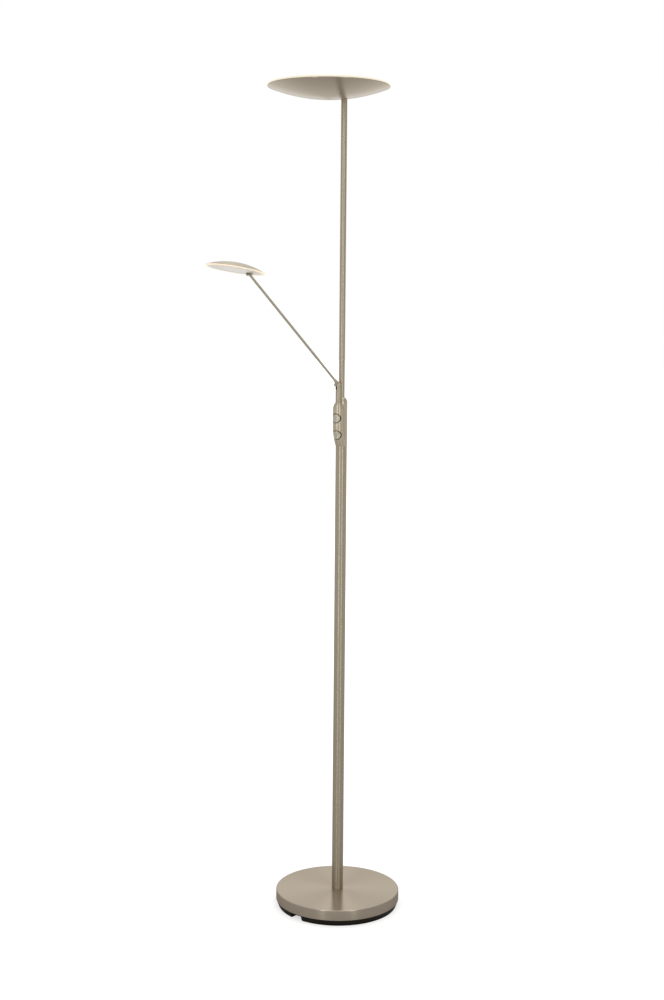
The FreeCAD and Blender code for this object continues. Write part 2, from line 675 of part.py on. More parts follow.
def make_switch_housing():
    """Twin-barrel casting, drawn with its front along its own +Y and turned round at the end."""
    part = body("switch_housing")
    spigot = f"({POLE_BORE} - fit_gap)"
    shoulder_edge = "(upper_radius + housing_lip)"
    inset = f"(housing_radius - {shoulder_edge})"
    rear = sketch_on(part, "rear_section", "XZ_Plane")
    outline(rear, [
        (0, "housing_level - spigot_depth"),
        (spigot, "housing_level - spigot_depth"),
        (spigot, "housing_level"),
        ("housing_radius", "housing_level"),
        ("housing_radius", f"{HOUSING_TOP} - housing_shoulder",
         f"(housing_shoulder^2 + {inset}^2) / (2 * {inset})", 1),
        (shoulder_edge, HOUSING_TOP),
        (0, HOUSING_TOP),
    ])
    spin(part, rear, "rear_barrel")
    barrel_along(part, "front_barrel", "lobe_radius", LOBE_SHOULDER)

    # rounded top of the front barrel, about the post's axis
    edge = "(post_radius + lobe_lip)"
    step = f"(lobe_radius - {edge})"
    top = sketch_on(part, "front_shoulder_section", "YZ_Plane")
    vertical_axis(top, "post_offset")
    outline(top, [
        ("post_offset", f"{LOBE_SHOULDER} - 1"),
        ("post_offset + lobe_radius", f"{LOBE_SHOULDER} - 1"),
        ("post_offset + lobe_radius", LOBE_SHOULDER, f"(lobe_shoulder^2 + {step}^2) / (2 * {step})", 1),
        (f"post_offset + {edge}", LOBE_TOP),
        ("post_offset", LOBE_TOP),
    ])
    spin(part, top, "front_shoulder", axis="Axis0")

    # foot of the front barrel trimmed level with the lower pole's end, outside the spigot
    trim = sketch_on(part, "foot_trim_section", "XZ_Plane")
    outline(trim, ring_section(spigot, "housing_radius + post_offset + lobe_radius",
                               "housing_level - spigot_depth - 1", "housing_level"))
    spin(part, trim, "foot_trim", cutting=True)

    # bore of the spigot, rear cavity, wire passage and socket for the upper pole
    hollow = "(housing_radius - housing_wall)"
    neck = f"({spigot} - spigot_wall)"
    cavity_top = "(housing_level + rear_cavity_height)"
    bores = sketch_on(part, "rear_bore_section", "XZ_Plane")
    outline(bores, [
        (0, "housing_level - spigot_depth - 1"),
        (neck, "housing_level - spigot_depth - 1"),
        (neck, "housing_level + spigot_wall"),
        (hollow, f"housing_level + spigot_wall + {hollow} - {neck}"),
        (hollow, cavity_top),
        ("passage_radius", f"{cavity_top} + passage_run"),
        ("passage_radius", SOCKET_BOTTOM),
        ("upper_radius + fit_gap", SOCKET_BOTTOM),
        ("upper_radius + fit_gap", f"{HOUSING_TOP} + 1"),
        (0, f"{HOUSING_TOP} + 1"),
    ])
    spin(part, bores, "rear_bore", cutting=True)
    barrel_along(part, "front_cavity", "lobe_radius - lobe_wall", CAVITY_TOP, cutting=True)

    # bore and seat of the swivelling post
    post_bore = sketch_on(part, "post_bore_section", "YZ_Plane")
    vertical_axis(post_bore, "post_offset")
    shank = "(post_offset + shank_radius + running_gap)"
    recess = "(post_offset + post_radius + free_gap)"
    outline(post_bore, [
        ("post_offset", f"{CAVITY_TOP} - 1"),
        (shank, f"{CAVITY_TOP} - 1"),
        (shank, SEAT),
        (recess, SEAT),
        (recess, f"{HOUSING_TOP} + 1"),
        ("post_offset", f"{HOUSING_TOP} + 1"),
    ])
    spin(part, post_bore, "post_bore", cutting=True, axis="Axis0")

    # button holes, square to the barrel's axis at their height
    for label, height in (("upper", "upper_button_height"), ("lower", "lower_button_height")):
        slope = barrel_slope(height)
        seat_y = f"({barrel_offset(height)} + button_seat * cos({slope}))"
        seat_z = f"(housing_level + {height} - button_seat * sin({slope}))"
        hole = sketch_on(part, label + "_hole_sketch", "XZ_Plane", y=seat_z, z=f"-{seat_y}",
                         axis="vector(1; 0; 0)", turn=f"-({slope})")
        circle_in(hole, 0, 0, "button_radius + button_gap")
        extrude(part, hole, label + "_button_hole", "lobe_radius * 2", cutting=True)

    # tongue behind the board, hanging from the post's boss, with two tapped holes
    tongue = sketch_on(part, "tongue_sketch", "XY_Plane", z="housing_level + board_foot")
    back = "(board_front - board_thickness - tongue_thickness)"
    outline(tongue, strip_corners("tongue_half_width * 2", back, "board_front - board_thickness"))
    extrude(part, tongue, "tongue", "rear_cavity_height + 2.4 - board_foot")
    holes = sketch_on(part, "tongue_hole_sketch", "XZ_Plane", z=f"-({back} - 1)")
    for level in board_screw_levels():
        circle_in(holes, 0, level, "board_screw_radius + fit_gap")
    extrude(part, holes, "tongue_holes", "tongue_thickness + 2", cutting=True)

    # cross hole for the grub screw
    grub = sketch_on(part, "spigot_hole_sketch", "XZ_Plane")
    circle_in(grub, 0, "housing_level - grub_drop", "grub_radius + fit_gap")
    extrude(part, grub, "spigot_hole", "pole_radius", cutting=True, reverse=True)
    place(part, yaw=180)
    return part


def board_screw_levels():
    """Heights of the board's two screws: at its foot and between the switches."""
    low = "(housing_level + board_foot + board_screw_inset)"
    middle = "(housing_level + (upper_button_height + lower_button_height) / 2)"
    return low, middle


def make_housing_screw():
    """Grub screw through the back of the lower pole into the spigot."""
    part = round_bar("housing_screw", "grub_radius", "grub_length", 0, f"{POLE_BORE} + pole_wall - 0.2",
                     "housing_level - grub_drop", roll=90)
    return part


def make_dimmer_board():
    """Circuit board screwed to the tongue, with its two switch cans and screws."""
    back = "(board_front - board_thickness)"
    size = ("board_half_width * 2", "board_thickness", "board_height")
    blank = block("dimmer_board_blank", size, "-board_half_width", back, "housing_level + board_foot")
    holes = []
    screws = []
    for step, level in enumerate(board_screw_levels()):
        holes.append(round_bar(f"board_hole_{step}", "board_screw_radius + fit_gap", "board_thickness + 2",
                               0, f"{back} - 1", level, roll=-90))
        head = round_bar(f"board_screw_head_{step}", "small_head_radius", "small_head_height",
                         0, "board_front", level, roll=-90)
        shank = round_bar(f"board_screw_shank_{step}", "board_screw_radius",
                          "board_thickness + tongue_thickness",
                          0, f"{back} - tongue_thickness", level, roll=-90)
        screws.append(fused(f"board_screw_{step}", [head, shank]))
    place(cut_from("dimmer_board", blank, holes), yaw=180)
    place(group("board_screws", screws), yaw=180)

    cans = []
    for label, height in (("upper", "upper_button_height"), ("lower", "lower_button_height")):
        slope = barrel_slope(height)
        y = barrel_offset(height)
        z = f"(housing_level + {height})"
        reach = "(post_offset + can_front)"
        can = block(label + "_can_block", ("can_half_width * 2", reach, "can_half_width * 2"))
        corner_y = f"({y} + (can_front - {reach}) * cos({slope}) - can_half_width * sin({slope}))"
        corner_z = f"({z} - (can_front - {reach}) * sin({slope}) - can_half_width * cos({slope}))"
        place(can, "-can_half_width", corner_y, corner_z, roll=f"-({slope})")
        behind = block(label + "_can_trim", ("can_half_width * 4", "post_offset * 2", "can_half_width * 6"),
                       "-can_half_width * 2", "board_front - post_offset * 2", f"{z} - can_half_width * 3")
        bore_y = f"({y} + (can_front - can_bore_depth) * cos({slope}))"
        bore_z = f"({z} - (can_front - can_bore_depth) * sin({slope}))"
        bore = round_bar(label + "_can_bore", "stem_radius + running_gap", "can_bore_depth + 1",
                         0, bore_y, bore_z, roll=f"-90 - ({slope})")
        cans.append(cut_from(label + "_can", can, [behind, bore]))
    return place(group("dimmer_switches", cans), yaw=180)


def make_button(name, height):
    """Cap that follows the barrel's curve, with its stem, along its own +Y from the barrel's axis."""
    slope = barrel_slope(height)
    reach = "(lobe_radius + button_stand)"
    disc = round_bar(name + "_disc", "button_radius", "lobe_radius", 0, "button_back", 0, roll=-90)
    skin = round_bar(name + "_skin", reach, "button_radius * 4", z="-button_radius * 2")
    cap = shared(name + "_cap", [disc, skin])
    stem = round_bar(name + "_stem", "stem_radius", "button_back + 1 - stem_end", 0, "stem_end", 0, roll=-90)
    button = fused(name, [cap, stem])
    place(button, 0, f"-{barrel_offset(height)}", f"housing_level + {height}", yaw=180,
          roll=f"-({slope})")
    return button


# ---------------------------------------------------------------- reading post

def make_reading_post():
    """Turned post with a round head, a fork slot along its own X and a cross hole along its Y."""
    shoulder = f"({SEAT} + free_gap + post_washer_height)"
    shank_bottom = f"({CAVITY_TOP} - free_gap - spring_washer_height - post_nut_height - shank_end)"
    slot_floor = f"({PIVOT} - slot_drop)"
    blank = turned("reading_post_blank", [
        ("post_bore", shank_bottom),
        ("shank_radius", shank_bottom),
        ("shank_radius", shoulder),
        ("post_radius", shoulder),
        ("post_radius", PIVOT, "post_radius", 1),
        (0, f"{PIVOT} + post_radius"),
        (0, f"{slot_floor} + 1"),
        ("post_bore", f"{slot_floor} + 1"),
    ])
    slot = block("fork_slot", ("post_radius * 4", "slot_width", "slot_drop + post_radius * 2"),
                 "-post_radius * 2", "-slot_width / 2", slot_floor)
    hole = round_bar("fork_hole", "pivot_radius + fit_gap", "post_radius * 4",
                     0, "-post_radius * 2", PIVOT, roll=-90)
    head_recess = round_bar("pin_head_recess", "pivot_head_radius + pin_recess_gap", "post_radius",
                            0, "pivot_head_seat", PIVOT, roll=-90)
    nut_recess = round_bar("pin_nut_recess", "pivot_nut_width / 2 / cos(30) + pin_recess_gap", "post_radius",
                           0, "-pivot_nut_seat", PIVOT, roll=90)
    return at_post(cut_from("reading_post", blank, [slot, hole, head_recess, nut_recess]))


def at_post(part):
    """Put a part on the post's axis, its own X along the arm's heading."""
    return place(part, 0, "-post_offset", 0, yaw=POST_YAW)


def make_post_fixing():
    """Washers and nut that let the post swivel stiffly in the housing's boss."""
    bore = "(shank_radius + fit_gap)"
    washer = turned("post_washer", ring_section(bore, "post_radius - fit_gap", f"{SEAT} + free_gap",
                                                f"{SEAT} + free_gap + post_washer_height"))
    at_post(washer)
    top = f"({CAVITY_TOP} - free_gap)"
    spring = turned("post_spring_washer", ring_section(bore, "post_nut_width / 2",
                                                       f"{top} - spring_washer_height", top))
    at_post(spring)
    hexagon_nut = nut("post_nut", "post_nut_width", "post_nut_height", bore,
                      f"({top} - spring_washer_height - post_nut_height)")
    at_post(hexagon_nut)


def make_pivot_fixing():
    """Screw through the fork with a domed head on the right, and its nut on the left."""
    part = body("pivot_screw")
    sketch = sketch_on(part, "pivot_screw_section", "XZ_Plane")
    crown = "(pivot_head_height * 0.6)"
    bend = f"(pivot_head_radius^2 + {crown}^2) / (2 * {crown})"
    tail = "(pivot_nut_seat + pivot_nut_height)"
    outline(sketch, [
        (0, 0),
        ("pivot_radius", 0),
        ("pivot_radius", f"{tail} + pivot_head_seat"),
        ("pivot_head_radius", f"{tail} + pivot_head_seat"),
        ("pivot_head_radius", f"{tail} + pivot_head_seat + pivot_head_height - {crown}", bend, 1),
        (0, f"{tail} + pivot_head_seat + pivot_head_height"),
    ])
    spin(part, sketch, "pivot_screw_turning")
    # the screw's own Z becomes the post's Y: yaw is the post's, roll lays it down
    place(part, f"{tail} * sin({POST_YAW})", f"-post_offset - {tail} * cos({POST_YAW})", PIVOT,
          yaw=POST_YAW, roll=-90)
    blank = hexagon("pivot_nut_blank", "pivot_nut_width", "pivot_nut_height",
                    0, "-pivot_nut_seat", PIVOT, roll=90)
    hole = round_bar("pivot_nut_hole", "pivot_radius + fit_gap / 2", "post_radius * 4",
                     0, "-post_radius * 2", PIVOT, roll=-90)
    at_post(cut_from("pivot_nut", blank, [hole]))


# ---------------------------------------------------------------- arm (own X along the arm from the fork pin)

def on_arm(part):
    return place(part, 0, "-post_offset", PIVOT, yaw=POST_YAW, pitch="-arm_elevation")


def make_arm_eye():
    """Turned eye with milled flats and a stop lug, tapering to the tube, with a spigot inside it."""
    rise = "sqrt(eye_radius^2 - eye_neck_radius^2)"
    part = body("arm_eye_blank")
    sketch = sketch_on(part, "arm_eye_section", "XZ_Plane")
    # the section is drawn up the sheet's Z and laid along the arm afterwards
    outline(sketch, [
        (0, 0, "eye_radius", 1),
        ("eye_neck_radius", f"eye_radius + {rise}"),
        ("arm_radius", "eye_radius + eye_end"),
        ("arm_bore - fit_gap", "eye_radius + eye_end"),
        ("arm_bore - fit_gap", "eye_radius + eye_end + spigot_length"),
        (0, "eye_radius + eye_end + spigot_length"),
    ])
    spin(part, sketch, "arm_eye_turning")
    place(part, "-eye_radius", 0, 0, pitch=90)
    flats = []
    for side, label in ((1, "right"), (-1, "left")):
        low = "eye_thickness / 2" if side > 0 else "-eye_thickness / 2 - eye_radius * 2"
        flats.append(block(f"eye_flat_{label}", ("eye_radius * 2 + eye_flat_end", "eye_radius * 2",
                                                 "eye_radius * 4"),
                           "-eye_radius * 2", low, "-eye_radius * 2"))
    heel = round_bar("eye_heel", "heel_radius", "eye_thickness", "heel_offset * cos(arm_elevation)",
                     "-eye_thickness / 2", "-heel_offset * sin(arm_elevation)", roll=-90)
    hole = round_bar("eye_hole", "pivot_radius + running_gap", "eye_thickness * 2",
                     0, "-eye_thickness", 0, roll=-90)
    turned_eye = cut_from("arm_eye_flats", part, flats)
    return on_arm(cut_from("arm_eye", fused("arm_eye_solid", [turned_eye, heel]), [hole]))


def make_pivot_washers():
    washers = []
    for side, label in ((1, "right"), (-1, "left")):
        low = "eye_thickness / 2" if side > 0 else "-eye_thickness / 2 - pivot_washer_height"
        disc = round_bar(f"pivot_washer_disc_{label}", "pivot_washer_radius", "pivot_washer_height",
                         0, low, 0, roll=-90)
        hole = round_bar(f"pivot_washer_hole_{label}", "pivot_radius + running_gap", "eye_thickness * 4",
                         0, "-eye_thickness * 2", 0, roll=-90)
        washers.append(cut_from(f"pivot_washer_{label}", disc, [hole]))
    return on_arm(group("pivot_washers", washers))


def make_arm_tube():
    """Thin straight tube between the eye and the head pin."""
    length = "arm_length - eye_end - crossbar_boss_radius - fit_gap"
    tube = round_bar("arm_tube_blank", "arm_radius", length, "eye_end", 0, 0, pitch=90)
    bore = round_bar("arm_tube_bore", "arm_bore", f"{length} + 2", "eye_end - 1", 0, 0, pitch=90)
    return on_arm(cut_from("arm_tube", tube, [bore]))


def make_arm_crossbar():
    """Head pin across the arm's top: a bar with a thicker middle, peened ends and a spigot."""
    half = "(saddle_length / 2 + free_gap)"
    part = body("crossbar_turning")
    sketch = sketch_on(part, "crossbar_section", "XZ_Plane")
    levels = f"{half} + crossbar_head_height"
    outline(sketch, [
        (0, 0),
        ("crossbar_head_radius", 0),
        ("crossbar_head_radius", "crossbar_head_height"),
        ("crossbar_radius", "crossbar_head_height"),
        ("crossbar_radius", f"{levels} - crossbar_boss_half"),
        ("crossbar_boss_radius", f"{levels} - crossbar_boss_half"),
        ("crossbar_boss_radius", f"{levels} + crossbar_boss_half"),
        ("crossbar_radius", f"{levels} + crossbar_boss_half"),
        ("crossbar_radius", f"{levels} + {half}"),
        ("crossbar_head_radius", f"{levels} + {half}"),
        ("crossbar_head_radius", f"2 * ({levels})"),
        (0, f"2 * ({levels})"),
    ])
    spin(part, sketch, "crossbar_turning_feature")
    place(part, "arm_length", f"-({levels})", 0, roll=-90)
    spigot = round_bar("crossbar_spigot", "arm_bore - fit_gap", "spigot_length + crossbar_boss_radius",
                       "arm_length - spigot_length - crossbar_boss_radius", 0, 0, pitch=90)
    return on_arm(fused("arm_crossbar", [part, spigot]))


# ---------------------------------------------------------------- reading head (own Z from the head pin)

HEAD_FACE = "(crossbar_radius + head_face_gap)"
HEAD_RIM = f"({HEAD_FACE} + head_edge)"
DOME_BEND = "((head_radius^2 + head_depth^2) / (2 * head_depth))"
DOME_DROP = f"({DOME_BEND} - head_depth)"


def dome_radius(height):
    """Inside radius of the metal dome at a height above its edge."""
    return f"sqrt(({DOME_BEND} - head_wall)^2 - ({DOME_DROP} + {height})^2)"


def dome_rise(radius):
    """Height of the dome's inside above its edge, at a radius from its axis."""
    return f"(sqrt(({DOME_BEND} - head_wall)^2 - ({radius})^2) - {DOME_DROP})"


SPREADER_TOP = f"({HEAD_RIM} + {dome_rise('head_spreader_radius')} - free_gap)"
SPREADER_BOTTOM = f"({SPREADER_TOP} - head_spreader_height)"
HEAD_BOARD_BOTTOM = f"({SPREADER_BOTTOM} - head_board_height)"


def on_head(part):
    return place(part, HEAD_X, HEAD_Y, HEAD_Z, yaw=POST_YAW, pitch="-head_tilt")


def make_head_shell():
    """Shallow spun dome with an even wall."""
    return on_head(turned("head_shell", [
        (dome_radius("0"), HEAD_RIM),
        ("head_radius", HEAD_RIM, DOME_BEND, 1),
        (0, f"{HEAD_RIM} + head_depth"),
        (0, f"{HEAD_RIM} + head_depth - head_wall", f"({DOME_BEND} - head_wall)", -1),
    ]))


def make_head_diffuser():
    """Opal plate with a rounded edge, a locating ring inside the dome and a slot for the saddle."""
    ring = f"({dome_radius('head_ring_height')} - free_gap)"
    blank = turned("head_diffuser_blank", [
        (0, HEAD_FACE),
        ("head_radius - head_edge_radius", HEAD_FACE, "head_edge_radius", 1),
        ("head_radius", f"{HEAD_FACE} + head_edge_radius"),
        ("head_radius", HEAD_RIM),
        (ring, HEAD_RIM),
        (ring, f"{HEAD_RIM} + head_ring_height"),
        (f"{ring} - head_ring_wall", f"{HEAD_RIM} + head_ring_height"),
        (f"{ring} - head_ring_wall", f"{HEAD_FACE} + head_plate"),
        (0, f"{HEAD_FACE} + head_plate"),
    ])
    half = "(saddle_length / 2 + free_gap + crossbar_head_height + saddle_slot_gap)"
    slot = block("saddle_slot", ("saddle_width + 2 * saddle_slot_gap", f"2 * {half}", "head_plate + 2"),
                 "-head_offset - saddle_width / 2 - saddle_slot_gap", f"-{half}", f"{HEAD_FACE} - 1")
    return on_head(cut_from("head_diffuser", blank, [slot]))


def make_head_inside():
    """Heat spreader, circuit board, diodes and screws."""
    holes = [round_bar(f"head_screw_hole_{step}", "small_screw_radius + fit_gap", "head_depth", x, y,
                       f"{HEAD_BOARD_BOTTOM} - 1")
             for step, (angle, x, y) in enumerate(around(SCREW_COUNT, "head_screw_circle"))]
    for side in (-1, 1):
        holes.append(round_bar(f"saddle_screw_hole_{side + 1}", "small_screw_radius + fit_gap", "head_depth",
                               "-head_offset", f"{side} * saddle_screw_offset",
                               f"{SPREADER_BOTTOM} - saddle_plate - 1"))
    tools = fused("head_screw_holes", holes)
    spreader = turned("head_spreader_blank", ring_section("0", "head_spreader_radius", SPREADER_BOTTOM,
                                                          SPREADER_TOP))
    on_head(cut_from("head_spreader", spreader, [tools]))
    board = turned("head_board_blank", ring_section("0", "head_board_radius", HEAD_BOARD_BOTTOM,
                                                    SPREADER_BOTTOM))
    on_head(cut_from("head_board", board, [tools]))
    on_head(diode_ring("head_leds", ((LED_COUNT_HEAD, "head_led_circle"),),
                       f"({HEAD_BOARD_BOTTOM} - led_height)"))
    screws = [screw(f"head_screw_{step}", "small_screw_radius", "head_board_height + head_spreader_height",
                    "small_head_radius", "small_head_height", x, y, HEAD_BOARD_BOTTOM)
              for step, (angle, x, y) in enumerate(around(SCREW_COUNT, "head_screw_circle"))]
    on_head(group("head_screws", screws))


def diode_ring(name, rings, bottom):
    """Square diode packages evenly spaced on one or more circles."""
    diodes = []
    for ring, (count, circle) in enumerate(rings):
        for angle, centre_x, centre_y in around(count, circle):
            half = "led_size / 2"
            x = f"({circle} - {half}) * cos({angle}) + {half} * sin({angle})"
            y = f"({circle} - {half}) * sin({angle}) - {half} * cos({angle})"
            diodes.append(block(f"{name}_{ring}_{len(diodes)}", ("led_size", "led_size", "led_height"),
                                x, y, bottom, yaw=angle))
    return group(name, diodes)


def make_head_saddle():
    """Plate under the heat spreader with two lugs that hold the head pin."""
    plate = block("saddle_plate_block", ("saddle_width", "saddle_length", "saddle_plate"),
                  "-head_offset - saddle_width / 2", "-saddle_length / 2", f"{SPREADER_BOTTOM} - saddle_plate")
    pieces = [plate]
    for side in (-1, 1):
        low = "saddle_length / 2 - lug_thickness" if side > 0 else "-saddle_length / 2"
        pieces.append(block(f"lug_web_{side + 1}", ("lug_radius * 2", "lug_thickness", SPREADER_BOTTOM),
                            "-head_offset - lug_radius", low, 0))
        pieces.append(round_bar(f"lug_eye_{side + 1}", "lug_radius", "lug_thickness",
                                "-head_offset", low, 0, roll=-90))
    solid = fused("saddle_solid", pieces)
    bore = round_bar("saddle_bore", "crossbar_radius + running_gap", "saddle_length + 2",
                     "-head_offset", "-saddle_length / 2 - 1", 0, roll=-90)
    holes = [round_bar(f"saddle_hole_{side + 1}", "small_screw_radius + fit_gap", "saddle_plate + 2",
                       "-head_offset", f"{side} * saddle_screw_offset",
                       f"{SPREADER_BOTTOM} - saddle_plate - 1") for side in (-1, 1)]
    on_head(cut_from("head_saddle", solid, [bore] + holes))
    screws = [screw(f"saddle_screw_{side + 1}", "small_screw_radius", "saddle_plate + head_spreader_height",
                    "small_head_radius", "small_head_height", "-head_offset",
                    f"{side} * saddle_screw_offset", f"({SPREADER_BOTTOM} - saddle_plate)")
              for side in (-1, 1)]
    on_head(group("saddle_screws", screws))


# ---------------------------------------------------------------- uplighter dish

def on_dish(part):
    return place(part, 0, "-dish_offset", 0)


def make_dish_shell():
    """Spun dish with an even wall and an upright lip, holed over the pole."""
    inner_edge = "(dish_radius - dish_wall)"
    part = turned("dish_shell", [
        (0, DISH_FLOOR, BOWL_BEND, 1),
        ("dish_radius", f"{RIM} - dish_lip"),
        ("dish_radius", RIM),
        (inner_edge, RIM),
        (inner_edge, bowl_level(INNER_BEND, inner_edge), INNER_BEND, -1),
        (0, f"{DISH_FLOOR} + dish_wall"),
    ])
    sketch = sketch_on(part, "dish_hole_sketch", "XY_Plane", z=DISH_FLOOR)
    circle_in(sketch, 0, "dish_offset", "top_nipple_radius + free_gap")
    extrude(part, sketch, "dish_hole", "dish_depth", cutting=True, reverse=True)
    return on_dish(part)


WASHER_TOP = f"({bowl_level(INNER_BEND, 'dish_offset + dish_washer_radius')} + dish_washer_height)"
POLE_HEAD = bowl_level(BOWL_BEND, "dish_offset - upper_radius")


def make_dish_fixing():
    """Tapped plug in the pole's head, threaded tube, wedge washer and nut."""
    plug_top = f"({POLE_HEAD} - fit_gap)"
    turned("top_plug", ring_section("top_nipple_radius + fit_gap", f"{UPPER_BORE} - fit_gap",
                                    f"{plug_top} - top_plug_height", plug_top))
    top = f"({WASHER_TOP} + dish_nut_height + nipple_end / 2)"
    turned("top_nipple", ring_section("top_nipple_bore", "top_nipple_radius",
                                      f"{plug_top} - top_plug_height + nipple_end", top))
    blank = turned("dish_washer_blank", ring_section("top_nipple_radius + free_gap", "dish_washer_radius",
                                                     f"{DISH_FLOOR}", WASHER_TOP))
    bowl = bind(named("Part::Sphere", "dish_washer_trim"), Radius=f"{INNER_BEND} - fit_gap")
    place(bowl, 0, "-dish_offset", BOWL_CENTRE)
    shared("dish_washer", [blank, bowl])
    nut("dish_nut", "dish_nut_width", "dish_nut_height", "top_nipple_radius + fit_gap", WASHER_TOP)


UPLIGHT_BOTTOM = f"({bowl_level(INNER_BEND, 'spreader_radius')} + free_gap)"
UPLIGHT_BOARD = f"({UPLIGHT_BOTTOM} + spreader_height)"
UPLIGHT_TOP = f"({UPLIGHT_BOARD} + uplight_board_height)"


def make_uplight_inside():
    """Heat spreader on its pedestal, circuit board, diodes and screws."""
    foot = f"({bowl_level(INNER_BEND, 'pedestal_radius')} + free_gap)"
    places = list(around(SCREW_COUNT, "uplight_screw_circle", 20))
    bore = "small_screw_radius + fit_gap"
    holes = [round_bar(f"uplight_hole_{step}", bore, "dish_depth", x, y, UPLIGHT_BOTTOM)
             for step, (angle, x, y) in enumerate(places)]
    tools = fused("uplight_holes", holes)
    spreader = turned("uplight_spreader_blank", [
        (0, foot),
        ("pedestal_radius", foot),
        ("pedestal_radius", UPLIGHT_BOTTOM),
        ("spreader_radius", UPLIGHT_BOTTOM),
        ("spreader_radius", UPLIGHT_BOARD),
        (0, UPLIGHT_BOARD),
    ])
    on_dish(cut_from("uplight_spreader", spreader, [tools]))
    board = turned("uplight_board_blank", ring_section("0", "uplight_board_radius", UPLIGHT_BOARD, UPLIGHT_TOP))
    on_dish(cut_from("uplight_board", board, [tools]))
    rings = ((LED_COUNT_OUTER, "uplight_outer_circle"), (LED_COUNT_INNER, "uplight_inner_circle"))
    on_dish(diode_ring("uplight_leds", rings, UPLIGHT_TOP))
    screws = [screw(f"uplight_screw_{step}", "small_screw_radius", "uplight_board_height + spreader_height",
                    "small_head_radius", "small_head_height", x, y, UPLIGHT_TOP, up=False)
              for step, (angle, x, y) in enumerate(places)]
    on_dish(group("uplight_screws", screws))


def make_uplight_diffuser():
    """Opal cover that stands in the dish's lip, with a rounded edge and a slightly crowned top."""
    edge = "(dish_radius - dish_wall - free_gap)"
    shelf = f"({bowl_level(INNER_BEND, edge)} + free_gap)"
    shoulder = "(overall_height - diffuser_crown)"
    flat = f"({edge} - diffuser_edge)"
    inside = f"({edge} - diffuser_plate)"
    crown = f"(({flat}^2 + diffuser_crown^2) / (2 * diffuser_crown))"
    hollow = f"(({inside}^2 + diffuser_crown^2) / (2 * diffuser_crown))"
    return on_dish(turned("uplight_diffuser", [
        (inside, shelf),
        (edge, shelf),
        (edge, f"{shoulder} - diffuser_edge", "diffuser_edge", 1),
        (flat, shoulder, crown, 1),
        (0, "overall_height"),
        (0, "overall_height - diffuser_plate", hollow, -1),
        (inside, f"{shoulder} - diffuser_plate"),
    ]))


# ---------------------------------------------------------------- build, check and write

NODES = [
    "base_cover", "base_weight", "base_foot", "foot_strip", "foot_screws", "base_nipple", "base_washer",
    "base_nut", "pole_plug", "lower_pole", "switch_housing", "housing_screw", "dimmer_board",
    "dimmer_switches", "board_screws", "upper_pole", "top_plug", "top_nipple", "dish_shell", "dish_washer",
    "dish_nut", "uplight_spreader", "uplight_board", "uplight_leds", "uplight_screws", "uplight_diffuser",
    "upper_button", "lower_button",
    "reading_post", "post_washer", "post_spring_washer", "post_nut", "pivot_screw", "pivot_nut",
    "arm_eye", "pivot_washers", "arm_tube", "arm_crossbar",
    "head_shell", "head_spreader", "head_board", "head_leds", "head_screws", "head_diffuser",
    "head_saddle", "saddle_screws",
]


def build():
    make_base_cover()
    make_base_weight()
    make_base_foot()
    make_foot_strip()
    make_foot_screws()
    make_base_fixing()
    make_lower_pole()
    make_upper_pole()
    make_switch_housing()
    make_housing_screw()
    make_dimmer_board()
    make_button("upper_button", "upper_button_height")
    make_button("lower_button", "lower_button_height")
    make_reading_post()
    make_post_fixing()
    make_pivot_fixing()
    make_arm_eye()
    make_pivot_washers()
    make_arm_tube()
    make_arm_crossbar()
    make_head_shell()
    make_head_diffuser()
    make_head_inside()
    make_head_saddle()
    make_dish_shell()
    make_dish_fixing()
    make_uplight_inside()
    make_uplight_diffuser()
    DOCUMENT.recompute()


def faults():
    """Objects that failed, and sub-parts without a sound solid."""
    found = [f"{item.Label}: {item.State}" for item in DOCUMENT.Objects
             if "Invalid" in item.State or "Error" in item.State]
    for name in NODES:
        shape = DOCUMENT.getObjectsByLabel(name)[0].Shape
        if shape.isNull() or not shape.isValid() or not shape.Solids:
            found.append(f"{name}: no sound solid")
    return found


def write():
    os.makedirs("parts", exist_ok=True)
    for name in NODES:
        shape = DOCUMENT.getObjectsByLabel(name)[0].Shape
        shape.exportStep(f"parts/{name}.step")
        box = shape.BoundBox
        print(f"{name:20s} solids {len(shape.Solids):3d} volume {shape.Volume:12.1f} "
              f"z {box.ZMin:8.1f} to {box.ZMax:8.1f}")


build()
problems = faults()
if problems:
    raise RuntimeError("; ".join(problems))
write()
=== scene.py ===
"""Torchiere floor lamp with a reading light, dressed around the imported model, in metres."""
import math

import bmesh
import bpy
from mathutils import Matrix, Vector


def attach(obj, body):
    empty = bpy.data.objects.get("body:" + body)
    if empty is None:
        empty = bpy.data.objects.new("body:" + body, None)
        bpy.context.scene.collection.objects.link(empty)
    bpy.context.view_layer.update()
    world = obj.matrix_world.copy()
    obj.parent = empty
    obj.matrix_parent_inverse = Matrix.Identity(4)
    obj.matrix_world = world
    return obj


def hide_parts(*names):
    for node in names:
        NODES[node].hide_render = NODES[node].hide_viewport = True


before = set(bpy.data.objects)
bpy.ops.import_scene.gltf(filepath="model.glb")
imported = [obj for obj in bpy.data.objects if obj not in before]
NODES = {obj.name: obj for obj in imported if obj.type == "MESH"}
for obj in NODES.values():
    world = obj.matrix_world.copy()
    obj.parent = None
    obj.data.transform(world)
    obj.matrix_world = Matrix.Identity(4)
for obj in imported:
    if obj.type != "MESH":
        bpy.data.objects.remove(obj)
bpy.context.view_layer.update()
SCENE = bpy.context.scene

# ---------------------------------------------------------------- shader nodes

WHITE = (1, 1, 1, 1)
ORIGIN = (0, 0, 0)
UNSCALED = (1, 1, 1)
NO_TINT = (1, 1, 1)


def set_inputs(node, values):
    for key, value in values.items():
        node.inputs[key].default_value = value
    return node


def add(tree, kind, values=None, **settings):
    """New node with its settings and the plain values of its sockets."""
    node = tree.nodes.new(kind)
    for key, value in settings.items():
        setattr(node, key, value)
    return set_inputs(node, values or {})


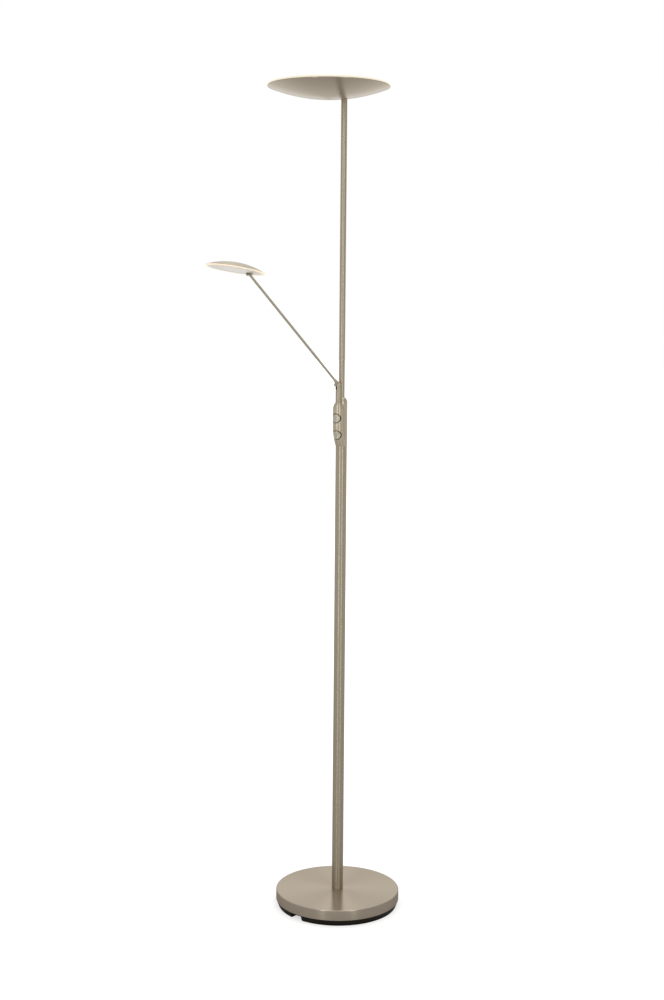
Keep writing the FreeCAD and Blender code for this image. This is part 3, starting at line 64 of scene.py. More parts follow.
def feed(tree, socket, value):
    """Plain value for a socket, or a link to it from another node's output."""
    if isinstance(value, bpy.types.NodeSocket):
        tree.links.new(value, socket)
    else:
        socket.default_value = value


def math_node(tree, operation, first, second=0.0):
    node = add(tree, "ShaderNodeMath", operation=operation)
    feed(tree, node.inputs[0], first)
    feed(tree, node.inputs[1], second)
    return node.outputs[0]


def vector_math(tree, operation, first, second=None):
    """Vector that the operation gives, or the number for a length or a dot product."""
    node = add(tree, "ShaderNodeVectorMath", operation=operation)
    feed(tree, node.inputs[0], first)
    if second is not None:
        feed(tree, node.inputs[1], second)
    return node.outputs["Value" if operation in ("LENGTH", "DOT_PRODUCT") else "Vector"]


def spread(tree, value, low, high, start=0.3, end=0.7):
    """Value stretched from start..end to low..high."""
    limits = {"From Min": start, "From Max": end, "To Min": low, "To Max": high}
    node = add(tree, "ShaderNodeMapRange", limits)
    tree.links.new(value, node.inputs["Value"])
    return node.outputs[0]


def coordinates(tree, kind):
    return tree.nodes.new("ShaderNodeTexCoord").outputs[kind]


def fill_ramp(ramp, stops):
    """Colour stops (place, colour) in the room of the two that a new ramp has."""
    elements = ramp.color_ramp.elements
    for place, colour in stops:
        elements.new(place).color = (*colour, 1)
    elements.remove(elements[0])
    elements.remove(elements[len(elements) - 1])


# ---------------------------------------------------------------- camera, world, lights, floor

CAMERA_PLACE = Vector((1.6357, -2.8714, 1.3113))
CAMERA_HEADING = 30.0
CAMERA_PITCH = 6.789
CAMERA_ROLL = 0.471
FOCAL_PIXELS = 1517.8
PICTURE_HEIGHT = 1000
SENSOR = 36.0
CLIP_END = 200

WORLD_LIGHT = 0.62
# share of a turn from -X through -Y, and how bright the wall is there
STUDIO_WALL = [
    (0.001, 0.61), (0.064, 0.57), (0.136, 0.59), (0.197, 0.66), (0.253, 0.81), (0.306, 0.72),
    (0.361, 0.70), (0.414, 0.76), (0.469, 0.51), (0.531, 0.47), (0.603, 0.53), (0.703, 0.59),
    (0.778, 0.72), (0.833, 0.83), (0.889, 0.78), (0.958, 0.64), (0.999, 0.61),
]
# lighter patch high on the wall behind the lamp: its middle, the cosines at its rim and core, its lift
PATCH_MIDDLE = (-0.4568, 0.7911, 0.4067)
PATCH_RIM, PATCH_CORE = 0.94, 0.995
PATCH_LIFT = 0.32

LIGHT_COLOUR = (1.0, 0.98, 0.95)
FLOOR_REACH = 40
FLOOR_COLOUR = (0.60, 0.595, 0.585, 1)
# distances from the lamp, and the floor's glow at each: to the camera, to mirrors, and the lift behind
FLOOR_SEEN = {"start": 0.4, "end": 2.5, "low": 0.62, "high": 1.0}
FLOOR_MIRRORED = {"start": 0.9, "end": 7.0, "low": 0.0, "high": 0.48}
FLOOR_BEHIND = {"start": 0.8, "end": 3.0, "low": 0.0, "high": 0.36}
BEHIND = (-0.574, 0.819, 0)
BEHIND_RIM, BEHIND_CORE = 0.70, 0.92


def make_camera():
    data = bpy.data.cameras.new("camera")
    data.sensor_fit = "AUTO"
    data.sensor_width = SENSOR
    data.lens = FOCAL_PIXELS * SENSOR / PICTURE_HEIGHT
    data.clip_end = CLIP_END
    camera = bpy.data.objects.new("camera", data)
    heading = Matrix.Rotation(math.radians(CAMERA_HEADING), 4, "Z")
    pitch = Matrix.Rotation(math.radians(90 - CAMERA_PITCH), 4, "X")
    roll = Matrix.Rotation(math.radians(CAMERA_ROLL), 4, "Z")
    camera.matrix_world = Matrix.Translation(CAMERA_PLACE) @ heading @ pitch @ roll
    SCENE.collection.objects.link(camera)
    SCENE.camera = camera


def seen_directly(tree, path):
    """One for rays that come from the camera, also through clear material."""
    return math_node(tree, "MAXIMUM", path.outputs["Is Camera Ray"],
                     path.outputs["Is Transmission Ray"])


def make_world():
    """White to the camera, a pale studio wall to mirrors, and even light to the rest."""
    world = bpy.data.worlds.new("studio")
    SCENE.world = world
    world.use_nodes = True
    tree = world.node_tree
    tree.nodes.clear()
    direction = coordinates(tree, "Generated")
    parts = tree.nodes.new("ShaderNodeSeparateXYZ")
    tree.links.new(direction, parts.inputs[0])
    bearing = math_node(tree, "ARCTAN2", parts.outputs["Y"], parts.outputs["X"])
    turn = math_node(tree, "ADD", math_node(tree, "DIVIDE", bearing, 2 * math.pi), 0.5)
    ramp = tree.nodes.new("ShaderNodeValToRGB")
    ramp.color_ramp.interpolation = "EASE"
    fill_ramp(ramp, [(place, (grey, grey, grey)) for place, grey in STUDIO_WALL])
    tree.links.new(turn, ramp.inputs[0])
    toward = vector_math(tree, "DOT_PRODUCT", direction, PATCH_MIDDLE)
    patch = spread(tree, toward, 0.0, PATCH_LIFT, PATCH_RIM, PATCH_CORE)
    wall = math_node(tree, "ADD", ramp.outputs[0], patch)

    path = tree.nodes.new("ShaderNodeLightPath")
    shaders = []
    for strength in (WORLD_LIGHT, wall, 1.0):
        background = add(tree, "ShaderNodeBackground", {"Color": WHITE})
        feed(tree, background.inputs["Strength"], strength)
        shaders.append(background.outputs[0])
    mixed = shaders[0]
    factors = (path.outputs["Is Glossy Ray"], seen_directly(tree, path))
    for factor, shader in zip(factors, shaders[1:]):
        mix = tree.nodes.new("ShaderNodeMixShader")
        for socket, source in zip(mix.inputs, (factor, mixed, shader)):
            tree.links.new(source, socket)
        mixed = mix.outputs[0]
    out = tree.nodes.new("ShaderNodeOutputWorld")
    tree.links.new(mixed, out.inputs[0])


def soft_box(name, bearing, distance, height, target_height, size, radiance, mirrored=True):
    """Rectangular light round the lamp's axis, given by the radiance of its face."""
    angle = math.radians(bearing)
    place = Vector((distance * math.cos(angle), distance * math.sin(angle), height))
    toward = Vector((0, 0, target_height)) - place
    data = bpy.data.lights.new(name, "AREA")
    data.shape = "RECTANGLE"
    data.size, data.size_y = size
    data.energy = radiance * math.pi * size[0] * size[1]
    data.color = LIGHT_COLOUR
    light = bpy.data.objects.new(name, data)
    light.visible_camera = False
    light.visible_glossy = mirrored
    turn = toward.to_track_quat("-Z", "Y").to_matrix().to_4x4()
    light.matrix_world = Matrix.Translation(place) @ turn
    SCENE.collection.objects.link(light)


def make_floor():
    """Pale floor, whiter to the camera far from the lamp, so that it meets the backdrop unseen."""
    mesh = bpy.data.meshes.new("floor")
    corners = [(x * FLOOR_REACH, y * FLOOR_REACH, 0) for x, y in ((-1, -1), (1, -1), (1, 1), (-1, 1))]
    mesh.from_pydata(corners, [], [(0, 1, 2, 3)])
    floor = bpy.data.objects.new("floor", mesh)
    SCENE.collection.objects.link(floor)
    look = bpy.data.materials.new("studio_floor")
    look.use_nodes = True
    tree = look.node_tree
    tree.nodes.clear()
    place = coordinates(tree, "Object")
    away = vector_math(tree, "LENGTH", place)
    path = tree.nodes.new("ShaderNodeLightPath")
    plain = math_node(tree, "MULTIPLY", seen_directly(tree, path), spread(tree, away, **FLOOR_SEEN))
    ahead = math_node(tree, "DIVIDE", vector_math(tree, "DOT_PRODUCT", place, BEHIND), away)
    behind = spread(tree, ahead, 0.0, 1.0, BEHIND_RIM, BEHIND_CORE)
    lift = math_node(tree, "MULTIPLY", behind, spread(tree, away, **FLOOR_BEHIND))
    raised = math_node(tree, "ADD", spread(tree, away, **FLOOR_MIRRORED), lift)
    mirrored = math_node(tree, "MULTIPLY", path.outputs["Is Glossy Ray"], raised)
    matt = add(tree, "ShaderNodeBsdfDiffuse", {"Color": FLOOR_COLOUR})
    glow = add(tree, "ShaderNodeEmission", {"Color": WHITE})
    tree.links.new(math_node(tree, "ADD", plain, mirrored), glow.inputs["Strength"])
    both = tree.nodes.new("ShaderNodeAddShader")
    out = tree.nodes.new("ShaderNodeOutputMaterial")
    tree.links.new(matt.outputs[0], both.inputs[0])
    tree.links.new(glow.outputs[0], both.inputs[1])
    tree.links.new(both.outputs[0], out.inputs[0])
    mesh.materials.append(look)


# ---------------------------------------------------------------- materials

VERTICAL = (0, 0, 1)
QUARTER_TURN = 0.25
# keeps the direction of the lines from vanishing on the axis itself
NUDGE = (0.00002, 0.00001, 0)
LINE_SHARE, CLOUD_SHARE = 0.7, 0.3
CLOUD_SCALE = 9.0
NOISE_ROUGHNESS = 0.55
BROAD_SCALE = 14.0
MOULD_CONTRAST, MOULD_SWING = 0.12, 0.08
OPAL_ROUGHNESS, OPAL_DEPTH = 0.35, 0.05
MOTTLE_SCALE, MOTTLE_LOW, MOTTLE_SHADE = 22.0, 0.93, 0.6
OPAL_GRAIN = 1500.0
LINE_HEIGHT, GRAIN_HEIGHT, OPAL_HEIGHT = 0.00015, 0.0002, 0.0001
GROUND_DEPTH, GROUND_WEAR = 0.03, 0.006
NICKEL_EDGE = (0.72, 0.69, 0.64)


def new_material(name, values):
    look = bpy.data.materials.new(name)
    look.use_nodes = True
    tree = look.node_tree
    shader = next(node for node in tree.nodes if node.type == "BSDF_PRINCIPLED")
    set_inputs(shader, values)
    return look, tree, shader


def from_centre(tree, centre):
    return vector_math(tree, "SUBTRACT", coordinates(tree, "Object"), centre)


def object_space(tree, centre=ORIGIN, stretch=UNSCALED, turned=False):
    """Object coordinates from a centre, scaled; turned ones run (radius, angle, height)."""
    source = from_centre(tree, centre)
    if turned:
        parts = tree.nodes.new("ShaderNodeSeparateXYZ")
        tree.links.new(source, parts.inputs[0])
        x, y = parts.outputs["X"], parts.outputs["Y"]
        squares = [math_node(tree, "MULTIPLY", value, value) for value in (x, y)]
        joined = tree.nodes.new("ShaderNodeCombineXYZ")
        radius = math_node(tree, "SQRT", math_node(tree, "ADD", *squares))
        tree.links.new(radius, joined.inputs[0])
        tree.links.new(math_node(tree, "ARCTAN2", y, x), joined.inputs[1])
        tree.links.new(parts.outputs["Z"], joined.inputs[2])
        source = joined.outputs[0]
    return vector_math(tree, "MULTIPLY", source, stretch)


def noise(tree, vector, scale=1.0, detail=3.0):
    settings = {"Scale": scale, "Detail": detail, "Roughness": NOISE_ROUGHNESS}
    node = add(tree, "ShaderNodeTexNoise", settings)
    tree.links.new(vector, node.inputs["Vector"])
    return node.outputs["Fac"]


def blend_colours(tree, factor, first, second):
    node = add(tree, "ShaderNodeMix", data_type="RGBA")
    node.inputs[6].default_value = (*first, 1)
    node.inputs[7].default_value = (*second, 1)
    tree.links.new(factor, node.inputs[0])
    return node.outputs[2]


def shade(colour, factor):
    return tuple(min(1.0, channel * factor) for channel in colour)


def relief(tree, shader, height, strength, distance):
    bump = add(tree, "ShaderNodeBump", {"Strength": strength, "Distance": distance})
    tree.links.new(height, bump.inputs["Height"])
    tree.links.new(bump.outputs[0], shader.inputs["Normal"])


def vary(tree, shader, pattern, colour, contrast, gloss, roughness, swing):
    """Colour that follows one pattern and roughness that follows another."""
    tint = blend_colours(tree, spread(tree, pattern, 0, 1), shade(colour, 1 - contrast),
                         shade(colour, 1 + contrast))
    tree.links.new(tint, shader.inputs["Base Color"])
    rough = spread(tree, gloss, roughness - swing, roughness + swing)
    tree.links.new(rough, shader.inputs["Roughness"])


def grinding_lines(tree, shader, amount, centre):
    """Highlights drawn out across grinding lines that run round the vertical axis of a centre.

    Without a centre, the lines run level, square to each place's own normal.
    """
    set_inputs(shader, {"Anisotropic": amount, "Anisotropic Rotation": QUARTER_TURN})
    if centre is None:
        outward = tree.nodes.new("ShaderNodeNewGeometry").outputs["Normal"]
    else:
        outward = from_centre(tree, centre)
    lines = vector_math(tree, "CROSS_PRODUCT", VERTICAL, outward)
    tree.links.new(vector_math(tree, "ADD", lines, NUDGE), shader.inputs["Tangent"])


def satin_metal(name, colour, roughness, stretch, centre=ORIGIN, turned=False, contrast=0.05,
                edge=NO_TINT, depth=0.12, wear=0.06):
    """Satin metal: fine lines or grain, faint clouding and slight wear in the gloss."""
    look, tree, shader = new_material(name, {"Metallic": 1.0, "Specular Tint": (*edge, 1)})
    lines = noise(tree, object_space(tree, centre, stretch, turned), detail=4.0)
    clouds = noise(tree, object_space(tree, centre), scale=CLOUD_SCALE, detail=2.0)
    both = math_node(tree, "ADD", math_node(tree, "MULTIPLY", lines, LINE_SHARE),
                     math_node(tree, "MULTIPLY", clouds, CLOUD_SHARE))
    vary(tree, shader, both, colour, contrast, both, roughness, wear)
    relief(tree, shader, lines, depth, LINE_HEIGHT)
    return look


def ground_nickel(name, colour, roughness, stretch, drawn_out, centre=None, turned=False,
                  contrast=0.05, edge=NICKEL_EDGE):
    """Satin nickel with grinding lines round a vertical axis."""
    look = satin_metal(name, colour, roughness, stretch, centre or ORIGIN, turned, contrast, edge,
                       GROUND_DEPTH, GROUND_WEAR)
    tree = look.node_tree
    shader = next(node for node in tree.nodes if node.type == "BSDF_PRINCIPLED")
    grinding_lines(tree, shader, drawn_out, centre)
    return look


def moulded(name, colour, roughness, grain=900.0, strength=0.25, sheen=0.5):
    """Moulded plastic, rubber or lacquer with a fine grain."""
    look, tree, shader = new_material(name, {"Specular IOR Level": sheen})
    space = object_space(tree)
    fine = noise(tree, space, scale=grain, detail=2.0)
    broad = noise(tree, space, scale=BROAD_SCALE)
    vary(tree, shader, broad, colour, MOULD_CONTRAST, fine, roughness, MOULD_SWING)
    relief(tree, shader, fine, strength, GRAIN_HEIGHT)
    return look


def opal(name, colour, centre, axis, reach, stops):
    """Lit opal acrylic: the glow of its diodes, stronger over their ring and at the clear edge."""
    values = {"Roughness": OPAL_ROUGHNESS, "Emission Strength": 1.0}
    look, tree, shader = new_material(name, values)
    across = vector_math(tree, "CROSS_PRODUCT", from_centre(tree, centre), axis)
    radius = vector_math(tree, "LENGTH", across)
    ramp = tree.nodes.new("ShaderNodeValToRGB")
    fill_ramp(ramp, stops)
    tree.links.new(math_node(tree, "DIVIDE", radius, reach), ramp.inputs[0])
    space = object_space(tree)
    mottle = spread(tree, noise(tree, space, scale=MOTTLE_SCALE, detail=2.0), MOTTLE_LOW, 1.0)
    tint = blend_colours(tree, mottle, shade(colour, MOTTLE_SHADE), colour)
    tree.links.new(tint, shader.inputs["Base Color"])
    dimmed = add(tree, "ShaderNodeVectorMath", operation="SCALE")
    tree.links.new(ramp.outputs[0], dimmed.inputs[0])
    tree.links.new(mottle, dimmed.inputs["Scale"])
    tree.links.new(dimmed.outputs[0], shader.inputs["Emission Color"])
    grain = noise(tree, space, scale=OPAL_GRAIN, detail=1.0)
    relief(tree, shader, grain, OPAL_DEPTH, OPAL_HEIGHT)
    return look


# ---------------------------------------------------------------- looks of the nodes

DISH_CENTRE = Vector((0, -0.0658, 0))
DISH_RADIUS = 0.1285
HEAD_RADIUS = 0.0625
HEAD_PIN = Vector((-0.108267, -0.201524, 1.402705))
HEAD_REACH = 0.034
AHEAD = Vector((-0.5, -0.8660254, 0))
TILT = math.radians(9.5)
HEAD_ALONG = AHEAD * math.cos(TILT) + Vector((0, 0, math.sin(TILT)))
HEAD_UP = Vector((0, 0, math.cos(TILT))) - AHEAD * math.sin(TILT)
HEAD_CENTRE = HEAD_PIN + HEAD_ALONG * HEAD_REACH

NICKEL = (0.475, 0.415, 0.315)
PLATE = (0.455, 0.395, 0.318)

LOOKS = {
    "pole": ground_nickel("satin_nickel_tube", NICKEL, 0.27, (300, 1.5, 1400), 0.97, turned=True,
                          contrast=0.03),
    # painted light: the housing's nickel is the tube's made a quarter lighter, standing in for the
    # light that falls on it
    "housing": ground_nickel("satin_nickel_cast_painted_light", shade(NICKEL, 1.25), 0.28, (60, 60, 900), 0.95,
                             contrast=0.03),
    # painted sheen: the caps, and the fork pin that shares their look, have the nickel made much
    # lighter to stand in for their shine
    "button": ground_nickel("satin_nickel_button_painted_sheen", (0.69, 0.64, 0.53), 0.44, (900, 60, 900), 0.85,
                            contrast=0.04),
    # painted light: the pan's plate is the dish's made a little lighter, standing in for the light on
    # its top
    "base": ground_nickel("satin_nickel_pan_painted_light", shade(PLATE, 1.06), 0.29, (900, 2, 2500), 0.89,
                          centre=ORIGIN, turned=True, contrast=0.02),
    "dish": ground_nickel("satin_nickel_dish", PLATE, 0.26, (900, 2, 900), 0.7, centre=DISH_CENTRE,
                          turned=True, contrast=0.03, edge=(0.78, 0.76, 0.73)),
    "head": satin_metal("satin_nickel_head", (0.46, 0.405, 0.308), 0.33, (600, 600, 600),
                        contrast=0.04, edge=(0.86, 0.85, 0.83)),
    "hinge": satin_metal("satin_nickel_hinge", NICKEL, 0.32, (900, 900, 900), edge=NICKEL_EDGE),
    # painted light: the arm's nickel is the tube's made a tenth lighter, standing in for the light on
    # it
    "arm": satin_metal("satin_nickel_arm_painted_light", shade(NICKEL, 1.1), 0.36, (1500, 1500, 60),
                       contrast=0.03, edge=NICKEL_EDGE),
    "zinc": satin_metal("zinc_plate", (0.62, 0.63, 0.65), 0.32, (600, 600, 600), contrast=0.1),
    "aluminium": satin_metal("plain_aluminium", (0.80, 0.81, 0.82), 0.38, (500, 500, 500),
                             contrast=0.06),
    "iron": satin_metal("cast_iron_skin", (0.16, 0.16, 0.17), 0.6, (300, 300, 300), contrast=0.3),
    "black": moulded("black_moulding", (0.011, 0.008, 0.005), 0.5, sheen=0.22),
    "rubber": moulded("black_rubber", (0.012, 0.012, 0.012), 0.75, grain=500.0, strength=0.4,
                      sheen=0.3),
    "white": moulded("white_nylon", (0.82, 0.81, 0.77), 0.45),
    "board": moulded("white_solder_mask", (0.86, 0.86, 0.83), 0.3, grain=300.0, strength=0.1),
    "green": moulded("green_solder_mask", (0.03, 0.20, 0.09), 0.28, grain=300.0, strength=0.1),
    "diode": moulded("diode_phosphor", (0.90, 0.72, 0.16), 0.35, grain=700.0, strength=0.1),
    "switch": moulded("switch_can", (0.03, 0.03, 0.033), 0.45),
    "uplight": opal("opal_uplight", (0.28, 0.27, 0.25), DISH_CENTRE, VERTICAL, DISH_RADIUS, [
        (0.0, (0.62, 0.58, 0.50)), (0.35, (0.72, 0.67, 0.57)), (0.70, (0.62, 0.57, 0.47)),
        (0.93, (0.58, 0.52, 0.41)), (0.985, (0.74, 0.66, 0.50)),
    ]),
    "reading": opal("opal_reading", (0.55, 0.53, 0.50), HEAD_CENTRE, HEAD_UP, HEAD_RADIUS, [
        (0.0, (0.24, 0.22, 0.19)), (0.32, (0.29, 0.27, 0.23)), (0.62, (0.21, 0.19, 0.16)),
        (0.83, (0.22, 0.19, 0.15)), (0.93, (0.42, 0.34, 0.23)), (0.99, (0.68, 0.53, 0.34)),
    ]),
}

NODE_LOOKS = {
    "pole": ["lower_pole", "upper_pole", "reading_post"],
    "housing": ["switch_housing", "pivot_nut"],
    "hinge": ["arm_crossbar", "head_saddle"],
    "arm": ["arm_eye", "arm_tube"],
    "zinc": ["base_nipple", "base_washer", "base_nut", "pole_plug", "board_screws", "top_plug",
             "top_nipple", "dish_washer", "dish_nut", "uplight_screws", "post_spring_washer",
             "post_nut", "head_screws", "saddle_screws"],
    "aluminium": ["uplight_spreader", "head_spreader"],
    "iron": ["base_weight"],
    "black": ["base_foot"],
    "rubber": ["foot_strip"],
    "white": ["post_washer", "pivot_washers"],
    "board": ["uplight_board", "head_board"],
    "green": ["dimmer_board"],
    "diode": ["uplight_leds", "head_leds"],
    "switch": ["dimmer_switches"],
    "reading": ["head_diffuser"],
}


def dress_nodes():
    for key, names in NODE_LOOKS.items():
        for name in names:
            for slot in NODES[name].material_slots:
                slot.material = LOOKS[key]


# ---------------------------------------------------------------- mesh tools

def circle(count, radius):
    """Corners (x, y) of a regular polygon or, with many of them, of a circle."""
    turns = [math.tau * step / count for step in range(count)]
    return [(radius * math.cos(turn), radius * math.sin(turn)) for turn in turns]


def rounded(corners, steps):
    """Outline from corners (radius, height, fillet), with each fillet drawn as a short arc."""
    points = []
    for index, (x, y, fillet) in enumerate(corners):
        here = Vector((x, y))
        if not fillet:
            points.append(here)
            continue
        before = (Vector(corners[index - 1][:2]) - here).normalized()
        after = (Vector(corners[(index + 1) % len(corners)][:2]) - here).normalized()
        half = before.angle(after) / 2
        centre = here + (before + after).normalized() * fillet / math.sin(half)
        start = here + before * fillet / math.tan(half) - centre
        end = here + after * fillet / math.tan(half) - centre
        for step in range(steps + 1):
            points.append(centre + start.lerp(end, step / steps).normalized() * fillet)
    return points


def sphere_radius(reach, rise):
    """Radius of the sphere whose cap has this radius and height."""
    return (reach ** 2 + rise ** 2) / (2 * rise)


def arc(radius, level, reach, steps, sign=1):
    """Points (r, z) of a sphere from its lowest (sign 1) or highest (sign -1) point outward."""
    points = []
    for step in range(steps + 1):
        r = reach * step / steps
        points.append((r, level + sign * (radius - math.sqrt(radius ** 2 - r ** 2))))
    return points


def stitch(solid, rings, steps):
    """Faces between neighbouring rings, and back from the last to the first; a lone point is a fan."""
    for first, second in zip(rings, rings[1:] + rings[:1]):
        for step in range(steps):
            follow = (step + 1) % steps
            corners = [first[step % len(first)], first[follow % len(first)],
                       second[follow % len(second)], second[step % len(second)]]
            distinct = list(dict.fromkeys(corners))
            if len(distinct) > 2:
                solid.faces.new(distinct)


def lathe(outline, place, steps):
    """Closed surface turned about the place's Z from a closed outline of (radius, height)."""
    on_axis = 1e-6
    solid = bmesh.new()
    rings = []
    for radius, height in outline:
        points = circle(steps, radius)[:1 if radius < on_axis else steps]
        rings.append([solid.verts.new(place @ Vector((x, y, height))) for x, y in points])
    stitch(solid, rings, steps)
    return solid


def prism(outline, low, high, place):
    """Straight bar with the given cross section, along the place's Z."""
    solid = bmesh.new()
    ends = [[solid.verts.new(place @ Vector((x, y, height))) for x, y in outline]
            for height in (low, high)]
    count = len(outline)
    for step in range(count):
        follow = (step + 1) % count
        solid.faces.new([ends[0][step], ends[0][follow], ends[1][follow], ends[1][step]])
    solid.faces.new(ends[0][::-1])
    solid.faces.new(ends[1])
    return solid


def carved(solid, cutter):
    """The solid with the cutter's volume taken out."""
    items = []
    for shape in (solid, cutter):
        bmesh.ops.recalc_face_normals(shape, faces=shape.faces)
        mesh = bpy.data.meshes.new("carving")
        shape.to_mesh(mesh)
        shape.free()
        item = bpy.data.objects.new("carving", mesh)
        SCENE.collection.objects.link(item)
        items.append(item)
    tool = items[0].modifiers.new("carve", "BOOLEAN")
    tool.operation = "DIFFERENCE"
    tool.solver = "EXACT"
    tool.object = items[1]
    result = bmesh.new()
    result.from_mesh(items[0].evaluated_get(bpy.context.evaluated_depsgraph_get()).to_mesh())
    for item in items:
        bpy.data.objects.remove(item)
    return result


def finish_piece(name, solid, look, rides, replaced, crease=28):
    """Smooth-shaded piece with crisp edges that rides on its body and stands for its node."""
    bmesh.ops.recalc_face_normals(solid, faces=solid.faces)
    for face in solid.faces:
        face.smooth = True
    for edge in solid.edges:
        if edge.is_manifold and edge.calc_face_angle() > math.radians(crease):
            edge.smooth = False
    mesh = bpy.data.meshes.new(name)
    solid.to_mesh(mesh)
    solid.free()
    mesh.materials.append(LOOKS[look])
    piece = bpy.data.objects.new(name, mesh)
    SCENE.collection.objects.link(piece)
    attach(piece, rides)
    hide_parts(replaced)


def placement(origin, up, ahead):
    """Placement with its Z along up and its X as near ahead as it can be."""
    z = up.normalized()
    y = z.cross(ahead).normalized()
    turn = Matrix((y.cross(z), y, z)).transposed()
    return Matrix.Translation(origin) @ turn.to_4x4()


# ---------------------------------------------------------------- pieces

X, Y, Z = Vector((1, 0, 0)), Vector((0, 1, 0)), Vector((0, 0, 1))
DISH_RIM = 1.7945
LAMP_TOP = 1.8
# between two rings that would otherwise meet in one
HAIR = 0.0001
WIDE_STEPS, HEAD_STEPS, BUTTON_STEPS, PIN_STEPS, SCREW_STEPS = 288, 224, 96, 64, 48


def make_pan():
    """Pressed pan with a rounded shoulder, a rolled lower edge and a hole for the threaded tube."""
    bore, inside, outside = 0.0053, 0.1365, 0.138
    edge, under, top = 0.0133, 0.0347, 0.0362
    outline = rounded([
        (bore, under, 0), (inside, under, 0.0012), (inside, edge, 0.0004),
        (outside, edge, 0.0006), (outside, top, 0.002), (bore, top, 0.0003),
    ], steps=8)
    pan = lathe(outline, Matrix(), WIDE_STEPS)
    finish_piece("pan", pan, "base", "stand", "base_cover")


def make_dish():
    """Spun dish with an even wall and a small beaded lip."""
    depth, lip, wall, steps = 0.025, 0.0012, 0.0012, 44
    # inward and down from the rim's outer corner
    bead = ((0, 0.001), (0, 0.0004), (0.0003, 0), (0.001, 0), (wall, 0.0003))
    floor = DISH_RIM - depth
    bend = sphere_radius(DISH_RADIUS, depth - lip)
    under = arc(bend, floor, DISH_RADIUS - HAIR, steps)
    over = arc(bend - wall, floor + wall, DISH_RADIUS - wall, steps)
    lips = [(DISH_RADIUS - inward, DISH_RIM - down) for inward, down in bead]
    dish = lathe(under + lips + over[::-1], Matrix.Translation(DISH_CENTRE), WIDE_STEPS)
    finish_piece("dish", dish, "dish", "stand", "dish_shell", crease=40)


def make_uplight_cover():
    """Opal cover: a ring inside the dish, a flange over its lip, and a slightly crowned top."""
    inside, ring, outside = 0.1248, 0.127, 0.1283
    foot, crown, thickness, fillet, chamfer = 1.7938, 0.0015, 0.0022, 0.0024, 0.0004
    steps, fillet_steps = 24, 8
    flat = outside - fillet
    shoulder = LAMP_TOP - crown - fillet
    seat = DISH_RIM + HAIR
    bend = sphere_radius(flat, crown)
    turns = [math.pi / 2 * (1 - step / fillet_steps) for step in range(fillet_steps + 1)]
    flange = [(inside, foot), (ring, foot), (ring, seat), (outside - chamfer, seat),
              (outside, seat + chamfer)]
    bent = [(flat + fillet * math.sin(a), shoulder + fillet * math.cos(a)) for a in turns]
    face = arc(bend, LAMP_TOP, flat, steps, -1)[-2::-1]
    hollow = arc(bend, LAMP_TOP - thickness, inside, steps, -1)
    cover = lathe(flange + bent + face + hollow, Matrix.Translation(DISH_CENTRE), WIDE_STEPS)
    finish_piece("uplight_cover", cover, "uplight", "stand", "uplight_diffuser", crease=40)


def make_head_dome():
    """Spun lens-shaped dome with a thin rolled edge."""
    rim, depth, wall, chamfer, steps = 0.0046, 0.0135, 0.001, 0.0002, 40
    bend = sphere_radius(HEAD_RADIUS, depth)
    inner = bend - wall
    mouth = math.sqrt(inner ** 2 - (bend - depth) ** 2)
    over = arc(bend, rim + depth, HEAD_RADIUS - HAIR, steps, -1)
    edge = [(HEAD_RADIUS, rim + chamfer), (HEAD_RADIUS - chamfer, rim)]
    under = arc(inner, rim + depth - wall, mouth, steps, -1)
    place = placement(HEAD_CENTRE, HEAD_UP, HEAD_ALONG)
    dome = lathe(over + edge + under[::-1], place, HEAD_STEPS)
    finish_piece("head_dome", dome, "head", "head", "head_shell", crease=40)


def make_button(name, centre, slope, rides, replaced):
    """Cap that follows the barrel, with a finger dimple and a soft rim, and its stem."""
    out = Vector((0, -math.cos(slope), -math.sin(slope)))
    side = -X
    up = out.cross(side) * -1
    reach, radius, back = 0.0126, 0.0093, 0.0046
    dimple_depth, dimple_radius = 0.0006, 0.0070
    soft_start, soft_width = 0.0087, 0.0006
    stem, chamfer = 0.003, 0.0003
    solid = bmesh.new()
    rings = [[solid.verts.new(centre + out * (reach - dimple_depth))]]
    face_radii = [radius * step / 26 for step in range(1, 24)]
    rim_radii = [0.00868, 0.00895, 0.00915, 0.00926, radius]
    for r in face_radii + rim_radii:
        dimple = dimple_depth * max(0.0, 1 - (r / dimple_radius) ** 2) ** 1.5
        past = max(0.0, r - soft_start) / soft_width
        soft = soft_width * (1 - math.sqrt(max(0.0, 1 - past ** 2)))
        ring = []
        for across, along in circle(BUTTON_STEPS, r):
            height = math.sqrt(reach ** 2 - across ** 2) - dimple - soft
            ring.append(solid.verts.new(centre + out * height + side * across + up * along))
        rings.append(ring)
    skirt = ((radius, back + chamfer), (radius - chamfer, back), (stem, back), (stem, -0.0001),
             (stem - chamfer, -0.0004))
    for r, height in skirt:
        rings.append([solid.verts.new(centre + out * height + side * across + up * along)
                      for across, along in circle(BUTTON_STEPS, r)])
    rings.append([solid.verts.new(centre + out * skirt[-1][1])])
    stitch(solid, rings, BUTTON_STEPS)
    finish_piece(name, solid, "button", rides, replaced, crease=50)


def cross_section(length, width):
    """Outline of a cross recess."""
    a, b = length / 2, width / 2
    return [(a, -b), (a, b), (b, b), (b, a), (-b, a), (-b, b),
            (-a, b), (-a, -b), (-b, -b), (-b, -a), (b, -a), (b, -b)]


def domed_head(radius, height, level):
    """Outline of a domed screw head from its rim to its top, above a seat at a level."""
    side_share, steps = 0.4, 14
    crown = height * (1 - side_share)
    return arc(sphere_radius(radius, crown), level + height, radius, steps, -1)[::-1]


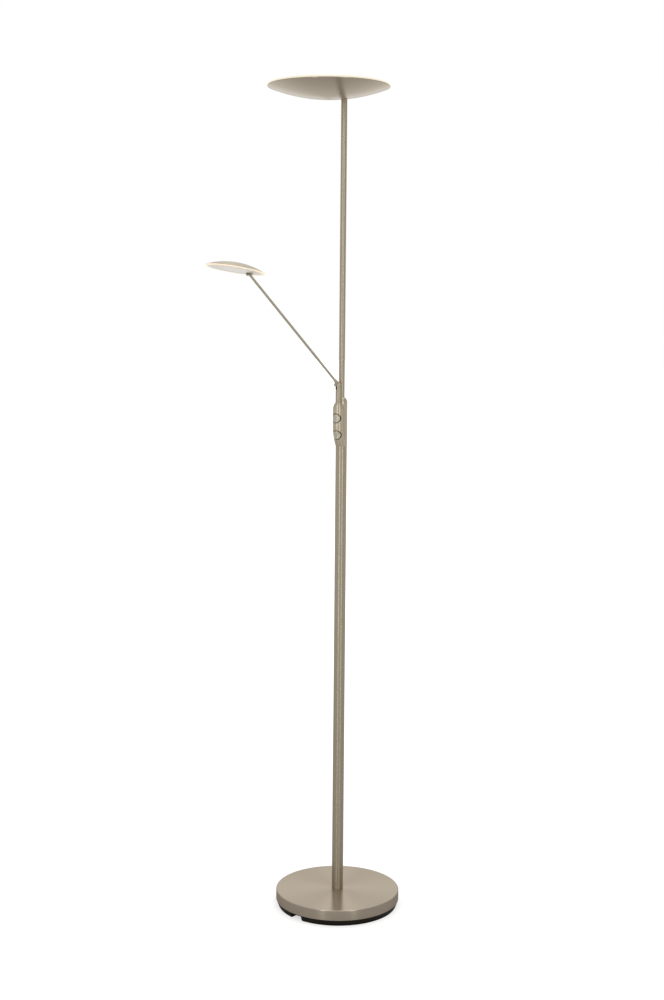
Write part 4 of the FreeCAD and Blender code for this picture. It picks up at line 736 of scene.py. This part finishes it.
def make_fork_pin():
    """Pin through the fork, with a hexagon socket in its domed head."""
    shank, head, foot, seat = 0.002, 0.0029, -0.0063, 0.0052
    chamfer = 0.0003
    place = placement(Vector((0, -0.014, 1.1705)), Vector((0.8660254, -0.5, 0)), Z)
    outline = [(0, foot), (shank - chamfer, foot), (shank, foot + chamfer), (shank, seat), (head, seat)]
    outline += domed_head(head, 0.0014, seat)
    socket = prism(circle(6, 0.00125), 0.0054, 0.0072, place)
    pin = carved(lathe(outline, place, PIN_STEPS), socket)
    finish_piece("fork_pin", pin, "button", "post", "pivot_screw")


def make_grub_screw():
    """Grub screw with a hexagon socket, level in the lower pole's back."""
    radius, length = 0.002, 0.0036
    place = placement(Vector((0, 0.0087, 1.025)), Y, Z)
    outline = [(0, 0), (0.0016, 0), (radius, 0.0004), (radius, 0.0033), (0.0017, length), (0, length)]
    socket = prism(circle(6, 0.00115), 0.0018, 0.0046, place)
    grub = carved(lathe(outline, place, SCREW_STEPS), socket)
    finish_piece("grub_screw", grub, "zinc", "stand", "housing_screw")


def make_tray_screws():
    """The tray's three cross-headed screws, joined into one piece."""
    ring, seat_height, first_turn = 0.092, 0.0172, 257.7
    shank, head, foot = 0.002, 0.0042, -0.009
    chamfer = 0.0004
    outline = [(0, foot), (shank - chamfer, foot), (shank, foot + chamfer), (shank, 0), (head, 0)]
    outline += domed_head(head, 0.0024, 0)
    joined = bmesh.new()
    for turn in (90, 210, 330):
        angle = math.radians(turn + first_turn)
        seat = Vector((ring * math.cos(angle), ring * math.sin(angle), seat_height))
        place = placement(seat, -Z, X)
        recess = prism(cross_section(0.0046, 0.0011), 0.0008, 0.004, place)
        screw = carved(lathe(outline, place, SCREW_STEPS), recess)
        mesh = bpy.data.meshes.new("tray_screw")
        screw.to_mesh(mesh)
        screw.free()
        joined.from_mesh(mesh)
        bpy.data.meshes.remove(mesh)
    finish_piece("tray_screws", joined, "zinc", "stand", "foot_screws")


# ---------------------------------------------------------------- assemble

make_camera()
make_world()
make_floor()
# bearing in degrees, distance, height, height aimed at, width and height of the face, radiance
soft_box("strip_left", -86, 3.2, 1.6, 1.0, (0.38, 3.2), 2.3)
soft_box("strip_right", -31, 3.2, 1.6, 1.0, (0.34, 3.2), 2.0)
soft_box("front_high", -60, 4.2, 3.4, 1.4, (3.4, 1.4), 1.3, mirrored=False)
soft_box("overhead", 100, 0.8, 3.8, 0.3, (2.6, 2.6), 1.1)
dress_nodes()
make_pan()
make_dish()
make_uplight_cover()
make_head_dome()
UPPER_CENTRE = Vector((0, -0.014, 1.0985))
LOWER_CENTRE = Vector((0, -0.011633, 1.0645))
LOWER_SLOPE = math.asin(20.5 / 90)
make_button("upper_cap", UPPER_CENTRE, 0.0, "upper_button", "upper_button")
make_button("lower_cap", LOWER_CENTRE, LOWER_SLOPE, "lower_button", "lower_button")
make_fork_pin()
make_grub_screw()
make_tray_screws()

SCENE.view_settings.view_transform = "Standard"
